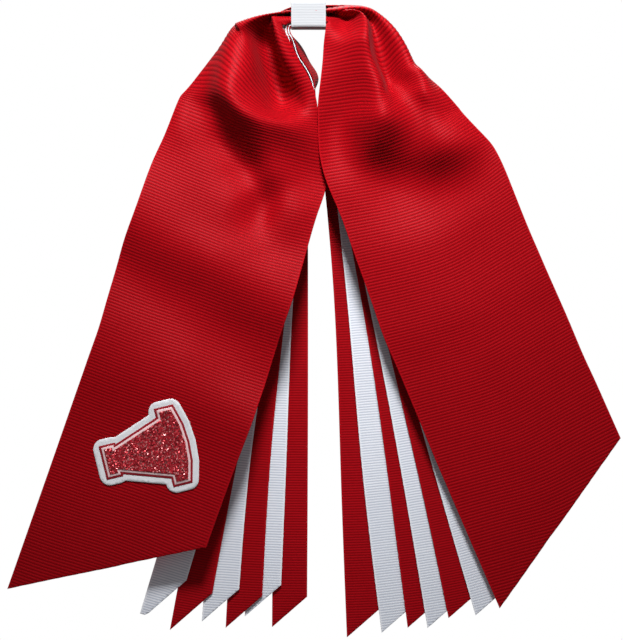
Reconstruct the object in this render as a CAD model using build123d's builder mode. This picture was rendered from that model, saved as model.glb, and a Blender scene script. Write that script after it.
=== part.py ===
from build123d import *
import os
from math import sin, cos, radians, hypot

# Cheer hair bow: one wide ribbon and six narrow ribbons gathered at a knot, on a French barrette.
# Millimetres, +Z up, the front faces -Y, left is -X. Origin: the middle of the knot band.
os.makedirs("parts", exist_ok=True)

# ------------------------------------------------------------------ driving dimensions
WIDE_T = 0.6                 # wide grosgrain with its weave
NARROW_W = 15.2              # narrow ribbon, 5/8 inch nominal
NARROW_T = 0.4
LAYERS = 6                   # narrow ribbons in the gather

BEND_X, BEND_Z = 6.4, -6.7   # centre of the turn from the gather into a leg
BEND_R = 1.75                # radius of the innermost arch
ARCH_PITCH = 0.55            # spacing of the arches in the gather
LEG_PITCH = 1.2              # spacing of the streamers once they face forwards
STREAMER_Y = {"left": 4.0, "right": 3.4}   # the rearmost streamer's depth on each side

CLIP_HALF_W = 2.2            # half width of the barrette
CLIP_MID = -3.0              # height of its middle, low behind the gather so the ribbon hides it
CLIP_Y = 9.65                # front face of the barrette's base plate
PIN_AT = (-24.0, 17.6)       # hinge pin's place (X, Y)
PIN_R = 0.6

SIGN = {"left": -1, "right": 1}   # direction of each side along X


# ------------------------------------------------------------------ helpers
def save(builder, name):
    builder.part.label = name
    export_step(builder.part, f"parts/{name}.step")


def smooth(t):
    t = min(max(t, 0.0), 1.0)
    return t * t * (3 - 2 * t)


def heading(start, end):
    run = (end[0] - start[0], end[1] - start[1])
    length = hypot(*run)
    return run[0] / length, run[1] / length


def outward(direction, sign):
    # square to a streamer's heading, from its inner edge to its outer edge
    return -direction[1] * sign, direction[0] * sign


def step(point, direction, distance):
    return point[0] + direction[0] * distance, point[1] + direction[1] * distance


def bend_point(sign, radius, angle):
    # (X, Z) on the turn out of the gather; the angle is in degrees from straight up
    return (
        sign * (BEND_X + radius * sin(radians(angle))),
        BEND_Z + radius * cos(radians(angle)),
    )


# ------------------------------------------------------------------ streamers' inner edges
# (X, Z) from the gather's waist to the cut end; number 1 is the rearmost, nearest the middle
INNER = {
    "left": {
        1: [(-0.2, -75.1), (-0.2, -101.5), (-0.2, -167.4), (-0.6, -253.1)],
        2: [(-2.4, -75.1), (-6.7, -124.1), (-9.3, -184.7), (-11.9, -247.9)],
        3: [(-4.1, -75.1), (-10.0, -130.0), (-15.8, -184.7), (-20.1, -252.7)],
        4: [(-5.4, -75.1), (-12.8, -120.0), (-22.3, -171.7), (-30.1, -249.6)],
        5: [(-6.3, -75.1), (-17.5, -130.0), (-32.6, -202.9), (-41.8, -251.4)],
        6: [(-6.7, -75.1), (-20.5, -130.0), (-39.5, -200.0), (-53.0, -245.7)],
    },
    "right": {
        1: [(7.1, -75.1), (10.4, -113.2), (14.1, -202.0), (16.7, -270.8)],
        2: [(11.5, -75.1), (17.1, -127.5), (23.2, -196.4), (31.8, -268.7)],
        3: [(13.6, -75.1), (24.9, -135.3), (37.0, -219.7), (43.1, -266.5)],
        4: [(15.4, -75.1), (30.2, -145.0), (44.8, -225.0), (51.7, -266.5)],
        5: [(16.7, -75.1), (36.2, -151.3), (53.5, -226.7), (60.8, -262.2)],
        6: [(17.5, -75.1), (39.0, -145.0), (60.0, -218.0), (72.5, -260.9)],
    },
}


def streamer_y(side, layer):
    return STREAMER_Y[side] - LEG_PITCH * (layer - 1)


def waist(side, layer):
    # middle (X, Z) of a streamer's width at the waist, and its heading there
    top, below = INNER[side][layer][:2]
    direction = heading(top, below)
    return step(top, outward(direction, SIGN[side]), NARROW_W / 2), direction


# ------------------------------------------------------------------ arches of the narrow ribbons
TURN_TOP, TURN_LOW = -27.5, -70.0          # heights where a leg starts and ends its turn
LEG_TURN_X = {"left": 3.0, "right": 7.6}   # leg 1 where its turn starts
LEG_END = -74.2                            # height where leg 1's path reaches its waist X
LEG_Z = [BEND_Z, -11.0, -16.0, -21.5, TURN_TOP, -34.0, -41.0, -48.0, -55.0, -62.0, -68.0, LEG_END]


def leg_plane(side, layer, z):
    # plane of a leg's cross-section, its X axis along the ribbon's width
    sign = SIGN[side]
    (centre_x, centre_z), direction = waist(side, layer)
    if z == LEG_END:
        # square across the streamer's heading
        return Plane(
            origin=(centre_x, streamer_y(side, layer), centre_z),
            x_dir=(sign * direction[1], 0, -sign * direction[0]),
            z_dir=(direction[0], 0, direction[1]),
        )
    # the ribbon's face turns from sideways to forwards
    turn = smooth((TURN_TOP - z) / (TURN_TOP - TURN_LOW))
    angle = radians(90.0 * turn)
    stack = (sign * cos(angle), -sin(angle))    # from leg 1 towards the next layers
    across = (-sign * sin(angle), -cos(angle))  # along the width
    # path of leg 1
    x_bend = sign * (BEND_X + BEND_R)
    x_turn = LEG_TURN_X[side]
    x_waist = waist(side, 1)[0][0]
    if z > TURN_TOP:
        x = x_bend + (x_turn - x_bend) * (BEND_Z - z) / (BEND_Z - TURN_TOP)
    else:
        x = x_turn + (x_waist - x_turn) * smooth((TURN_TOP - z) / (TURN_TOP - LEG_END))
    # the layer's place in the stack, and the fan along the width
    depth = (layer - 1) * (ARCH_PITCH + (LEG_PITCH - ARCH_PITCH) * turn)
    fan = abs(centre_x - x_waist) * turn
    x, y = step(step((x, STREAMER_Y[side] * turn), stack, depth), across, -fan)
    return Plane(origin=(x, y, z), x_dir=(across[0], across[1], 0), z_dir=(0, 0, -1))


def build_arch(layer):
    radius = BEND_R + ARCH_PITCH * (layer - 1)
    outer_r, inner_r = radius + NARROW_T / 2, radius - NARROW_T / 2
    with BuildPart() as arch:
        # flat run through the gather and the turn at each end
        with BuildSketch(Plane.XZ.offset(-NARROW_W / 2)):
            with Locations((0, BEND_Z + radius)):
                Rectangle(2 * BEND_X, NARROW_T)
            for sign in (-1, 1):
                with BuildLine():
                    outer_top, outer_mid, outer_low = [
                        bend_point(sign, outer_r, angle) for angle in (0, 45, 90)
                    ]
                    inner_top, inner_mid, inner_low = [
                        bend_point(sign, inner_r, angle) for angle in (0, 45, 90)
                    ]
                    ThreePointArc(outer_top, outer_mid, outer_low)
                    Line(outer_low, inner_low)
                    ThreePointArc(inner_low, inner_mid, inner_top)
                    Line(inner_top, outer_top)
                make_face()
        extrude(amount=NARROW_W)
        # the two legs, each turning to face forwards
        for side in ("left", "right"):
            for z in LEG_Z:
                with BuildSketch(leg_plane(side, layer, z)):
                    Rectangle(NARROW_W, NARROW_T)
            loft()
    save(arch, f"streamer_arch_{layer}")


for layer in range(1, LAYERS + 1):
    build_arch(layer)

# ------------------------------------------------------------------ streamers (twelve loose ends)
WAIST_GAP = 1.7        # from a leg's end to its streamer's top, room to sway
CUT_ANGLE = 41.0       # slant of the cut ends


def build_streamer(side, layer):
    sign = SIGN[side]
    points = INNER[side][layer]
    last = len(points) - 1
    heads = [heading(points[max(i - 1, 0)], points[min(i + 1, last)]) for i in range(last + 1)]
    outs = [outward(direction, sign) for direction in heads]
    # upper end, square across
    inner = [step(points[0], heads[0], WAIST_GAP)] + points[1:]
    outer = [step(point, out, NARROW_W) for point, out in zip(inner[:-1], outs[:-1])]
    # slanted end: the edge on the left is the longer one on every streamer
    slope = (cos(radians(CUT_ANGLE)), sin(radians(CUT_ANGLE)))
    reach = NARROW_W / abs(slope[0] * outs[-1][0] + slope[1] * outs[-1][1])
    outer.append(step(points[-1], slope, sign * reach))
    with BuildPart() as streamer:
        # Plane.XZ's normal is -Y, so this starts at the rear face and extrudes forwards
        with BuildSketch(Plane.XZ.offset(-(streamer_y(side, layer) + NARROW_T / 2))):
            with BuildLine():
                Spline(*inner)
                Line(inner[-1], outer[-1])
                Spline(*reversed(outer))
                Line(outer[0], inner[0])
            make_face()
        extrude(amount=NARROW_T)
    save(streamer, f"streamer_{side}_{layer}")


for side in ("left", "right"):
    for layer in range(1, LAYERS + 1):
        build_streamer(side, layer)

# ------------------------------------------------------------------ wide ribbon's centre
PLEAT_R_IN = BEND_R + ARCH_PITCH * (LAYERS - 1) + NARROW_T / 2 + 0.7   # clears the outermost arch
PLEAT_R_OUT = 9.4
PLEAT_TOP = 4.5        # top of the pleats inside the knot
PLEAT_HALF_Y = 8.0     # half depth of the pleats, front to back
PLEAT_END = 45.0       # angle where the solid pleats end and the sheets begin

# lines where the tails bend, inner to outer edge (X, Y, Z)
SWING_Y = -9.2
SWING_L = ((4.1, SWING_Y, -85.1), (-65.2, SWING_Y, -59.1))
SWING_R = ((12.8, SWING_Y, -85.1), (80.3, SWING_Y, -59.1))

# crosswise stations down each shoulder:
# inner edge (X, Y, Z), outer edge (X, Y, Z), bulge, direction of the bulge, thickness
SHOULDER_L = [
    ((-12.6, -9.0, -7.6), (-22.0, 7.4, -1.0), 0.8, (-0.8, -0.5, 0.4), 1.2),
    ((-10.2, -9.5, -11.5), (-28.0, 6.0, -2.8), 3.5, (-0.5, -0.8, 0.1), 0.8),
    ((-6.6, -9.7, -16.0), (-34.0, 3.5, -7.6), 7.5, (-0.3, -1, -0.3), WIDE_T),
    ((-1.5, -9.6, -25.0), (-43.5, -1.5, -19.6), 11.5, (0, -1, -0.45), WIDE_T),
    ((5.0, -9.2, -41.8), (-53.5, -5.5, -33.0), 10.0, (0, -1, -0.3), WIDE_T),
    ((6.7, -9.0, -61.0), (-60.0, -8.0, -46.5), 5.5, (0, -1, -0.1), WIDE_T),
    ((5.6, -9.1, -75.5), (-63.4, -8.9, -54.6), 2.4, (0, -1, 0), WIDE_T),
    (*SWING_L, 0.8, (0, -1, 0), WIDE_T),
]
SHOULDER_R = [
    ((12.6, -9.0, -7.6), (21.0, 7.4, 1.2), 0.8, (0.8, -0.5, 0.4), 1.2),
    ((9.8, -10.2, -11.0), (27.0, 6.0, 0.4), 3.5, (0.5, -0.8, 0.1), 0.8),
    ((7.1, -11.6, -15.0), (33.0, 3.5, -2.8), 7.5, (0.3, -1, -0.3), WIDE_T),
    ((4.6, -12.6, -29.0), (42.0, -1.5, -16.5), 11.5, (0, -1, -0.45), WIDE_T),
    ((3.7, -12.8, -44.0), (54.0, -5.5, -30.2), 10.0, (0, -1, -0.3), WIDE_T),
    ((6.2, -12.2, -62.0), (67.5, -8.0, -43.0), 5.5, (0, -1, -0.1), WIDE_T),
    ((9.6, -10.6, -75.5), (75.2, -8.9, -52.4), 2.4, (0, -1, 0), WIDE_T),
    (*SWING_R, 0.8, (0, -1, 0), WIDE_T),
]


def sheet_section(inner, outer, bulge, up, thick):
    # thin crosswise profile from the inner to the outer edge, bowed by bulge towards up
    start, end = Vector(*inner), Vector(*outer)
    across = (end - start).normalized()
    bow = Vector(*up)
    bow = (bow - across * bow.dot(across)).normalized()
    width = (end - start).length
    rise = [(0, 0), (0.25, 0.75), (0.5, 1), (0.75, 0.75), (1, 0)]   # shares of width and bulge
    crest = [(width * u, bulge * v) for u, v in rise]
    with BuildSketch(Plane(origin=start, x_dir=across, z_dir=across.cross(bow))) as section:
        with BuildLine():
            Spline(*crest)
            Line((width, 0), (width, -thick))
            Spline(*[(x, y - thick) for x, y in reversed(crest)])
            Line((0, -thick), (0, 0))
        make_face()
    return section.sketch


def shoulder_root(sign):
    # first station, on the end face of the pleats
    x, z = bend_point(sign, PLEAT_R_OUT, PLEAT_END)
    up = (sign * sin(radians(PLEAT_END)), 0, cos(radians(PLEAT_END)))
    return (x, -PLEAT_HALF_Y, z), (x, PLEAT_HALF_Y, z), 0.0, up, PLEAT_R_OUT - PLEAT_R_IN


with BuildPart() as wide_ribbon_center:
    # gathered pleats through the knot, and the turn over the arches on both sides
    with BuildSketch(Plane.XZ.offset(-PLEAT_HALF_Y)):
        with Locations((0, (BEND_Z + PLEAT_R_IN + PLEAT_TOP) / 2)):
            Rectangle(2 * BEND_X, PLEAT_TOP - BEND_Z - PLEAT_R_IN)
        for sign in (-1, 1):
            with BuildLine():
                outer_top, outer_mid, outer_end = [
                    bend_point(sign, PLEAT_R_OUT, angle) for angle in (0, PLEAT_END / 2, PLEAT_END)
                ]
                inner_top, inner_mid, inner_end = [
                    bend_point(sign, PLEAT_R_IN, angle) for angle in (0, PLEAT_END / 2, PLEAT_END)
                ]
                Line(inner_top, outer_top)
                ThreePointArc(outer_top, outer_mid, outer_end)
                Line(outer_end, inner_end)
                ThreePointArc(inner_end, inner_mid, inner_top)
            make_face()
    extrude(amount=2 * PLEAT_HALF_Y)
    # shoulders that fan out and fall to the swing lines
    for sign, stations in ((-1, SHOULDER_L), (1, SHOULDER_R)):
        loft(sections=[sheet_section(*station) for station in [shoulder_root(sign)] + stations])
save(wide_ribbon_center, "wide_ribbon_center")

# ------------------------------------------------------------------ wide ribbon's tails
TAIL_L_Y = -7.5        # front face of the left tail's lower part

# crosswise stations: inner edge (X, Z), outer edge (X, Z), front face Y
TAIL_L = [
    ((3.8, -86.1), (-65.5, -60.1), SWING_Y),
    ((-3.7, -115.4), (-76.4, -89.5), -9.0),
    ((-14.5, -148.0), (-86.7, -123.0), -7.6),
    ((-24.2, -177.0), (-96.6, -152.2), TAIL_L_Y),
    ((-35.7, -208.5), (-108.0, -184.0), TAIL_L_Y),
    ((-45.5, -236.0), (-117.5, -211.0), TAIL_L_Y),
    ((-60.0, -275.0), (-132.5, -250.5), TAIL_L_Y),
]
TAIL_R = [
    ((13.1, -86.1), (80.7, -60.1), SWING_Y),
    ((23.5, -115.0), (91.5, -84.0), -10.2),
    ((37.0, -150.0), (108.0, -122.5), -8.4),
    ((52.5, -188.0), (123.5, -158.0), -7.2),
    ((66.0, -219.3), (136.0, -189.5), -7.8),
    ((78.5, -254.0), (148.0, -222.0), -8.2),
    ((86.0, -275.0), (156.0, -243.0), -8.2),
]
# two points (X, Z) on each slanted cut, outer then inner
CUT_L = ((-132.3, -249.6), (-44.8, -231.0))
CUT_R = ((135.3, -183.8), (81.2, -260.0))


def tail_section(inner, outer, front_y):
    mid_x, mid_z = (inner[0] + outer[0]) / 2, (inner[1] + outer[1]) / 2
    width = hypot(outer[0] - inner[0], outer[1] - inner[1])
    across = Vector((inner[0] - outer[0]) / width, 0, (inner[1] - outer[1]) / width)
    if across.X < 0:
        across = across * -1
    plane = Plane(
        origin=(mid_x, front_y + WIDE_T / 2, mid_z),
        x_dir=across,
        z_dir=across.cross(Vector(0, -1, 0)),
    )
    with BuildSketch(plane) as section:
        Rectangle(width, WIDE_T)
    return section.sketch


def cut_plane(start, end):
    # slanted cut, normal pointing up into the tail
    along = Vector(end[0] - start[0], 0, end[1] - start[1]).normalized()
    normal = Vector(-along.Z, 0, along.X)
    if normal.Z < 0:
        normal = normal * -1
    return Plane(origin=(start[0], 0, start[1]), x_dir=along, z_dir=normal)


def build_tail(name, stations, cut):
    with BuildPart() as tail:
        loft(sections=[tail_section(*station) for station in stations])
        split(bisect_by=cut_plane(*cut), keep=Keep.TOP)
    save(tail, name)


build_tail("wide_tail_left", TAIL_L, CUT_L)
build_tail("wide_tail_right", TAIL_R, CUT_R)

# ------------------------------------------------------------------ applique patch, four layers
PATCH_X, PATCH_Z = -69.9, -189.9   # centre on the left tail
PATCH_TILT = radians(14.0)         # of the megaphone's axis above level
PATCH_LIFT = 0.2                   # gap between the tail's front and the patch
PATCH_GAP = 0.02                   # gap between layers
# megaphone outline (along its axis, across it): mouthpiece flange, cone, bell ring
MEGAPHONE = [
    (-17.8, -5.6), (-17.8, 5.6), (-14.2, 5.6), (-14.2, 4.0), (9.4, 12.2), (9.4, 15.6),
    (14.6, 15.6), (16.6, 8.0), (17.2, 0.0), (16.6, -8.0), (14.6, -15.6), (9.4, -15.6),
    (9.4, -12.2), (-14.2, -4.0), (-14.2, -5.6),
]
# rear to front: name, growth beyond the glitter fill, thickness, corners
PATCH_LAYERS = [
    ("patch_backing", 4.6, 0.50, Kind.ARC),
    ("patch_rim", 1.9, 0.15, Kind.INTERSECTION),
    ("patch_inline", 0.95, 0.15, Kind.INTERSECTION),
    ("patch_glitter", 0.0, 0.35, Kind.INTERSECTION),
]


def build_patch(name, grow, thick, corners, rear_y):
    face_plane = Plane(
        origin=(PATCH_X, rear_y, PATCH_Z),
        x_dir=(cos(PATCH_TILT), 0, sin(PATCH_TILT)),
        z_dir=(0, -1, 0),
    )
    with BuildPart() as patch:
        with BuildSketch(face_plane):
            with BuildLine():
                Polyline(*MEGAPHONE, close=True)
            make_face()
            if grow:
                offset(amount=grow, kind=corners)
        extrude(amount=thick)
    save(patch, name)


rear_y = TAIL_L_Y - PATCH_LIFT
for name, grow, thick, corners in PATCH_LAYERS:
    build_patch(name, grow, thick, corners, rear_y)
    rear_y -= thick + PATCH_GAP

# ------------------------------------------------------------------ gather: thread, band, glue
THREAD_X = (-3.0, -1.5, 0.0, 1.5, 3.0)   # places of the wraps
THREAD_R = 0.22
THREAD_Y = 8.3                           # half depth of a wrap
THREAD_LOW, THREAD_TOP = -5.42, 4.78
with BuildPart() as gather_thread:
    for x in THREAD_X:
        with BuildLine(Plane.YZ.offset(x)):
            wrap = FilletPolyline(
                (THREAD_Y, THREAD_LOW), (THREAD_Y, THREAD_TOP),
                (-THREAD_Y, THREAD_TOP), (-THREAD_Y, THREAD_LOW),
                radius=0.4, close=True,
            )
        with BuildSketch(Plane(origin=wrap @ 0, z_dir=wrap % 0)):
            Circle(THREAD_R)
        sweep(path=wrap)
save(gather_thread, "gather_thread")

BAND_W = 15.0                        # along X
BAND_T = 0.45
BAND_FRONT, BAND_BACK = -8.7, 10.4   # inside of the band, Y
BAND_LOW, BAND_TOP = -5.75, 5.4      # inside of the band, Z
LAP_Z, LAP_H = 0.2, 6.4              # middle and height of the lap
with BuildPart() as knot_band:
    depth, height = BAND_BACK - BAND_FRONT, BAND_TOP - BAND_LOW
    with BuildSketch(Plane.YZ.offset(-BAND_W / 2)):
        with Locations(((BAND_FRONT + BAND_BACK) / 2, (BAND_LOW + BAND_TOP) / 2)):
            RectangleRounded(depth + 2 * BAND_T, height + 2 * BAND_T, 1.2)
            RectangleRounded(depth, height, 0.75, mode=Mode.SUBTRACT)
        # lap of the two ends behind the barrette's base
        with Locations((BAND_BACK + 1.5 * BAND_T, LAP_Z)):
            Rectangle(BAND_T, LAP_H)
    extrude(amount=BAND_W)
save(knot_band, "knot_band")

GLUE_FRONT, GLUE_BACK = 8.56, CLIP_Y - 0.02   # Y, between the thread and the barrette
with BuildPart() as glue_pad:
    with BuildSketch(Plane.XZ.offset(-GLUE_BACK)):
        with Locations((0, CLIP_MID)):
            RectangleRounded(13.0, 4.2, 1.8)
    extrude(amount=GLUE_BACK - GLUE_FRONT)
save(glue_pad, "glue_pad")

# ------------------------------------------------------------------ French barrette: base
CLIP_X = 26.0          # half length of the barrette
CLIP_T = 0.7
FLAT_X = 8.5           # half length of the base's flat middle
RISE = 2.6             # how far the ends stand back
EAR_T = 0.6
EAR_R = 1.6
LEAF_W = 3.2           # width of the latch foot and of the spring, along Z
# (X, Y) outlines
EAR = [
    (-24.9, 12.2), (-22.4, 11.6), (-22.4, PIN_AT[1]), (-25.6, PIN_AT[1]), (-25.6, 13.6),
    (-24.9, 12.2),
]
LATCH_FOOT = [(20.9, 11.3), (24.1, 12.2), (24.1, 13.0), (20.9, 13.0)]
with BuildPart() as barrette_base:
    with BuildSketch(Plane.XY.offset(CLIP_MID - CLIP_HALF_W)):
        with BuildLine():
            back_y = CLIP_Y + CLIP_T
            tip_front, tip_front_y = CLIP_X, CLIP_Y + RISE
            tip_back, tip_back_y = CLIP_X - 0.2, CLIP_Y + RISE + CLIP_T - 0.03
            Line((-FLAT_X, CLIP_Y), (FLAT_X, CLIP_Y))
            TangentArc((FLAT_X, CLIP_Y), (tip_front, tip_front_y), tangent=(1, 0))
            Line((tip_front, tip_front_y), (tip_back, tip_back_y))
            TangentArc((FLAT_X, back_y), (tip_back, tip_back_y), tangent=(1, 0))
            Line((FLAT_X, back_y), (-FLAT_X, back_y))
            TangentArc((-FLAT_X, back_y), (-tip_back, tip_back_y), tangent=(-1, 0))
            Line((-tip_back, tip_back_y), (-tip_front, tip_front_y))
            TangentArc((-FLAT_X, CLIP_Y), (-tip_front, tip_front_y), tangent=(-1, 0))
        make_face()
    extrude(amount=2 * CLIP_HALF_W)
    # rounded ends
    end_edges = barrette_base.edges().filter_by(Axis.Y, tolerance=20)
    fillet(end_edges.filter_by(lambda edge: abs(edge.center().X) > 24), 1.5)
    # hinge ears with the pin's holes
    for z in (CLIP_MID - CLIP_HALF_W, CLIP_MID + CLIP_HALF_W - EAR_T):
        with BuildSketch(Plane.XY.offset(z)):
            with BuildLine():
                Polyline(*EAR)
            make_face()
            with Locations(PIN_AT):
                Circle(EAR_R)
                Circle(PIN_R + 0.02, mode=Mode.SUBTRACT)
        extrude(amount=EAR_T)
    # foot that carries the latch prongs
    with BuildSketch(Plane.XY.offset(CLIP_MID - LEAF_W / 2)):
        with BuildLine():
            Polyline(*LATCH_FOOT, close=True)
        make_face()
    extrude(amount=LEAF_W)
save(barrette_base, "barrette_base")

# ------------------------------------------------------------------ French barrette: spring
SPRING_X = 17.5                        # half length
SPRING_T = 0.3
SPRING_FOOT, SPRING_CROWN = 11.1, 12.3   # front face's Y at the feet and in the middle
with BuildPart() as tension_spring:
    # leaf that bows towards the arm, its feet resting on the base
    with BuildSketch(Plane.XY.offset(CLIP_MID - LEAF_W / 2)):
        with BuildLine():
            foot_back = SPRING_FOOT + SPRING_T
            crown_back = SPRING_CROWN + SPRING_T
            ThreePointArc((-SPRING_X, SPRING_FOOT), (0, SPRING_CROWN), (SPRING_X, SPRING_FOOT))
            Line((SPRING_X, SPRING_FOOT), (SPRING_X, foot_back))
            ThreePointArc((SPRING_X, foot_back), (0, crown_back), (-SPRING_X, foot_back))
            Line((-SPRING_X, foot_back), (-SPRING_X, SPRING_FOOT))
        make_face()
    extrude(amount=LEAF_W)
save(tension_spring, "tension_spring")

# ------------------------------------------------------------------ French barrette: hinge pin
PIN_L = 5.3
PIN_HEAD_R, PIN_HEAD_T = 1.0, 0.4
with BuildPart() as hinge_pin:
    with BuildSketch(Plane.XY.offset(CLIP_MID - PIN_L / 2)):
        with Locations(PIN_AT):
            Circle(PIN_R)
    extrude(amount=PIN_L)
    for z in (CLIP_MID - PIN_L / 2, CLIP_MID + PIN_L / 2 - PIN_HEAD_T):
        with BuildSketch(Plane.XY.offset(z)):
            with Locations(PIN_AT):
                Circle(PIN_HEAD_R)
        extrude(amount=PIN_HEAD_T)
save(hinge_pin, "hinge_pin")

# ------------------------------------------------------------------ French barrette: arm
ARM_IN, ARM_OUT = 17.2, 18.0   # Y of the arm's front and rear faces
KNUCKLE_W, KNUCKLE_R = 3.0, 1.3
NECK_X = -20.6                 # end of the neck from the knuckle into the plate
with BuildPart() as barrette_arm:
    with BuildSketch(Plane.XY.offset(CLIP_MID - KNUCKLE_W / 2)):
        with Locations(PIN_AT):
            Circle(KNUCKLE_R)
        with BuildLine():
            Polyline(
                (PIN_AT[0], ARM_IN), (NECK_X, ARM_IN), (NECK_X, ARM_OUT), (PIN_AT[0], ARM_OUT),
                close=True,
            )
        make_face()
    extrude(amount=KNUCKLE_W)
    # plate with the latch window
    with BuildSketch(Plane.XZ.offset(-ARM_OUT)):
        with Locations((2.0, CLIP_MID)):
            RectangleRounded(46.6, 4.2, 1.2)
        with Locations((22.5, CLIP_MID)):
            Rectangle(3.0, 2.9, mode=Mode.SUBTRACT)
    extrude(amount=ARM_OUT - ARM_IN)
    # pin's hole
    with BuildSketch(Plane.XY.offset(CLIP_MID - KNUCKLE_W / 2)):
        with Locations(PIN_AT):
            Circle(PIN_R + 0.05)
    extrude(amount=KNUCKLE_W, mode=Mode.SUBTRACT)
save(barrette_arm, "barrette_arm")

# ------------------------------------------------------------------ French barrette: latch prongs
# two sprung prongs that stand through the arm's window, a nib at each tip
PRONG_X, PRONG_W = 21.5, 2.0   # left side and width along X
# (Y, distance from the barrette's middle height)
PRONG = [
    (13.05, 0.75), (13.05, 1.25), (18.1, 1.25), (18.25, 1.4), (18.5, 1.4), (19.2, 1.05),
    (19.2, 0.75),
]


def build_prong(name, sign):
    with BuildPart() as prong:
        with BuildSketch(Plane.YZ.offset(PRONG_X)):
            with BuildLine():
                Polyline(*[(y, CLIP_MID + sign * z) for y, z in PRONG], close=True)
            make_face()
        extrude(amount=PRONG_W)
    save(prong, name)


build_prong("latch_prong_upper", 1)
build_prong("latch_prong_lower", -1)
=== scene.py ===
"""A ribbon bow tail on a barrette: two wide red tails and twelve narrow red and white streamers
hang from a white knot band, with a layered applique on the left tail.

The bow faces -Y with +Z up; left is -X and right is +X. The knot is at the origin and the
ribbons hang down. Shapes are in millimetres, the studio in metres. On every ribbon `across`
runs over its width and `along` down its length.
"""
import math

import bmesh
import bpy
import numpy as np
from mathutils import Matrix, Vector
from mathutils.geometry import delaunay_2d_cdt


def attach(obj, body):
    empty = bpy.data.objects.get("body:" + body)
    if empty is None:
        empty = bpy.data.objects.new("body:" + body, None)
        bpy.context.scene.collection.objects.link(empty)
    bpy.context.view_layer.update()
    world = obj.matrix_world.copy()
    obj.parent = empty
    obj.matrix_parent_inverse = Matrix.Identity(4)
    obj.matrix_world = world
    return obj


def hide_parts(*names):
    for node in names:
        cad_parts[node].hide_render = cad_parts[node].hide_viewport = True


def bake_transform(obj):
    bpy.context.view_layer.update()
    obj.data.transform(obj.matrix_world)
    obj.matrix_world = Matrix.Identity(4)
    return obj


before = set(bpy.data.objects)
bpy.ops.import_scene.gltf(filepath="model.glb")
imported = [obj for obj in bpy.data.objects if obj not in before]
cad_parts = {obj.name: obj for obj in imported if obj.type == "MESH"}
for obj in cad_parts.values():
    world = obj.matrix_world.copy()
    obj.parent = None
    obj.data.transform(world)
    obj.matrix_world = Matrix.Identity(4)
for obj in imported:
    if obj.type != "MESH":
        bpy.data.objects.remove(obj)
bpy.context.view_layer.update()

MM = 0.001
UV_MM = 100                      # millimetres per UV unit
SIDES = ("left", "right")
SIGN = {"left": -1, "right": 1}
LAYERS = range(1, 7)             # streamers on a side, from the back to the front

# ---------------------------------------------------------------- dimensions, millimetres
WIDE_W, WIDE_T, WIDE_RIB = 76.2, 0.6, 1.35           # width, thickness, rib pitch
NARROW_W, NARROW_T, NARROW_RIB = 15.2, 0.4, 1.12
BAND_W, BAND_T = 15.0, 0.45
WIDE_COLUMNS, WIDE_STEP = 45, 1.7                    # grid of the relaxed wide ribbon
SAMPLES_PER_RIB = 4

# knot band
BAND_Y, BAND_Z = (-8.7, 10.4), (-5.75, 5.4)          # inside faces of the loop
BAND_CORNER = 1.1
BAND_STEP = 0.18
BAND_CENTRE_Y = 0.8

# narrow streamers: over an arch in the knot, down a leg, then flat
BEND_X, BEND_Z, BEND_R = 6.4, -6.7, 1.75             # arch corner and its innermost radius
ARCH_PITCH, LEG_PITCH = 0.55, 1.2                    # between layers in the arch and below it
FAN_PITCH, FAN_ANGLE = 0.42, 11.0                    # extra spread and twist of the left legs
LEG_MID_Z, TURN_END_Z, LEG_END = -27.5, -70.0, -74.2
LEG_MID_X = {"left": 3.0, "right": 7.6}
LEG_Z = [BEND_Z, -11.0, -16.0, -21.5, LEG_MID_Z, -34.0, -41.0, -48.0, -55.0, -62.0, -68.0]
LAYER_Y = {"left": 4.0, "right": 3.4}                # hindmost layer
CUT_ANGLE = 41.0

# wide tails: the line they swing about and the slanted cut, each through two points (X, Z)
SWING = {"left": ((4.1, -85.1), (-65.2, -59.1)), "right": ((12.8, -85.1), (80.3, -59.1))}
CUT = {
    "left": ((-132.3, -249.6), (-44.8, -231.0)),
    "right": ((135.3, -183.8), (81.2, -260.0)),
}

# inner edges of the narrow streamers (X, Z), by layer
INNER = {
    "left": {
        1: [(-0.2, -75.1), (-0.2, -101.5), (-0.2, -167.4), (-0.6, -253.1)],
        2: [(-2.4, -75.1), (-6.7, -124.1), (-9.3, -184.7), (-11.9, -247.9)],
        3: [(-4.1, -75.1), (-10.0, -130.0), (-15.8, -184.7), (-20.1, -252.7)],
        4: [(-5.4, -75.1), (-12.8, -120.0), (-22.3, -171.7), (-30.1, -249.6)],
        5: [(-6.3, -75.1), (-17.5, -130.0), (-32.6, -202.9), (-41.8, -251.4)],
        6: [(-6.7, -75.1), (-20.5, -130.0), (-39.5, -200.0), (-53.0, -245.7)],
    },
    "right": {
        1: [(7.1, -75.1), (10.4, -113.2), (14.1, -202.0), (16.7, -270.8)],
        2: [(11.5, -75.1), (17.1, -127.5), (23.2, -196.4), (31.8, -268.7)],
        3: [(13.6, -75.1), (24.9, -135.3), (37.0, -219.7), (43.1, -266.5)],
        4: [(15.4, -75.1), (30.2, -145.0), (44.8, -225.0), (51.7, -266.5)],
        5: [(16.7, -75.1), (36.2, -151.3), (53.5, -226.7), (60.8, -262.2)],
        6: [(17.5, -75.1), (39.0, -145.0), (60.0, -218.0), (72.5, -260.9)],
    },
}

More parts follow.
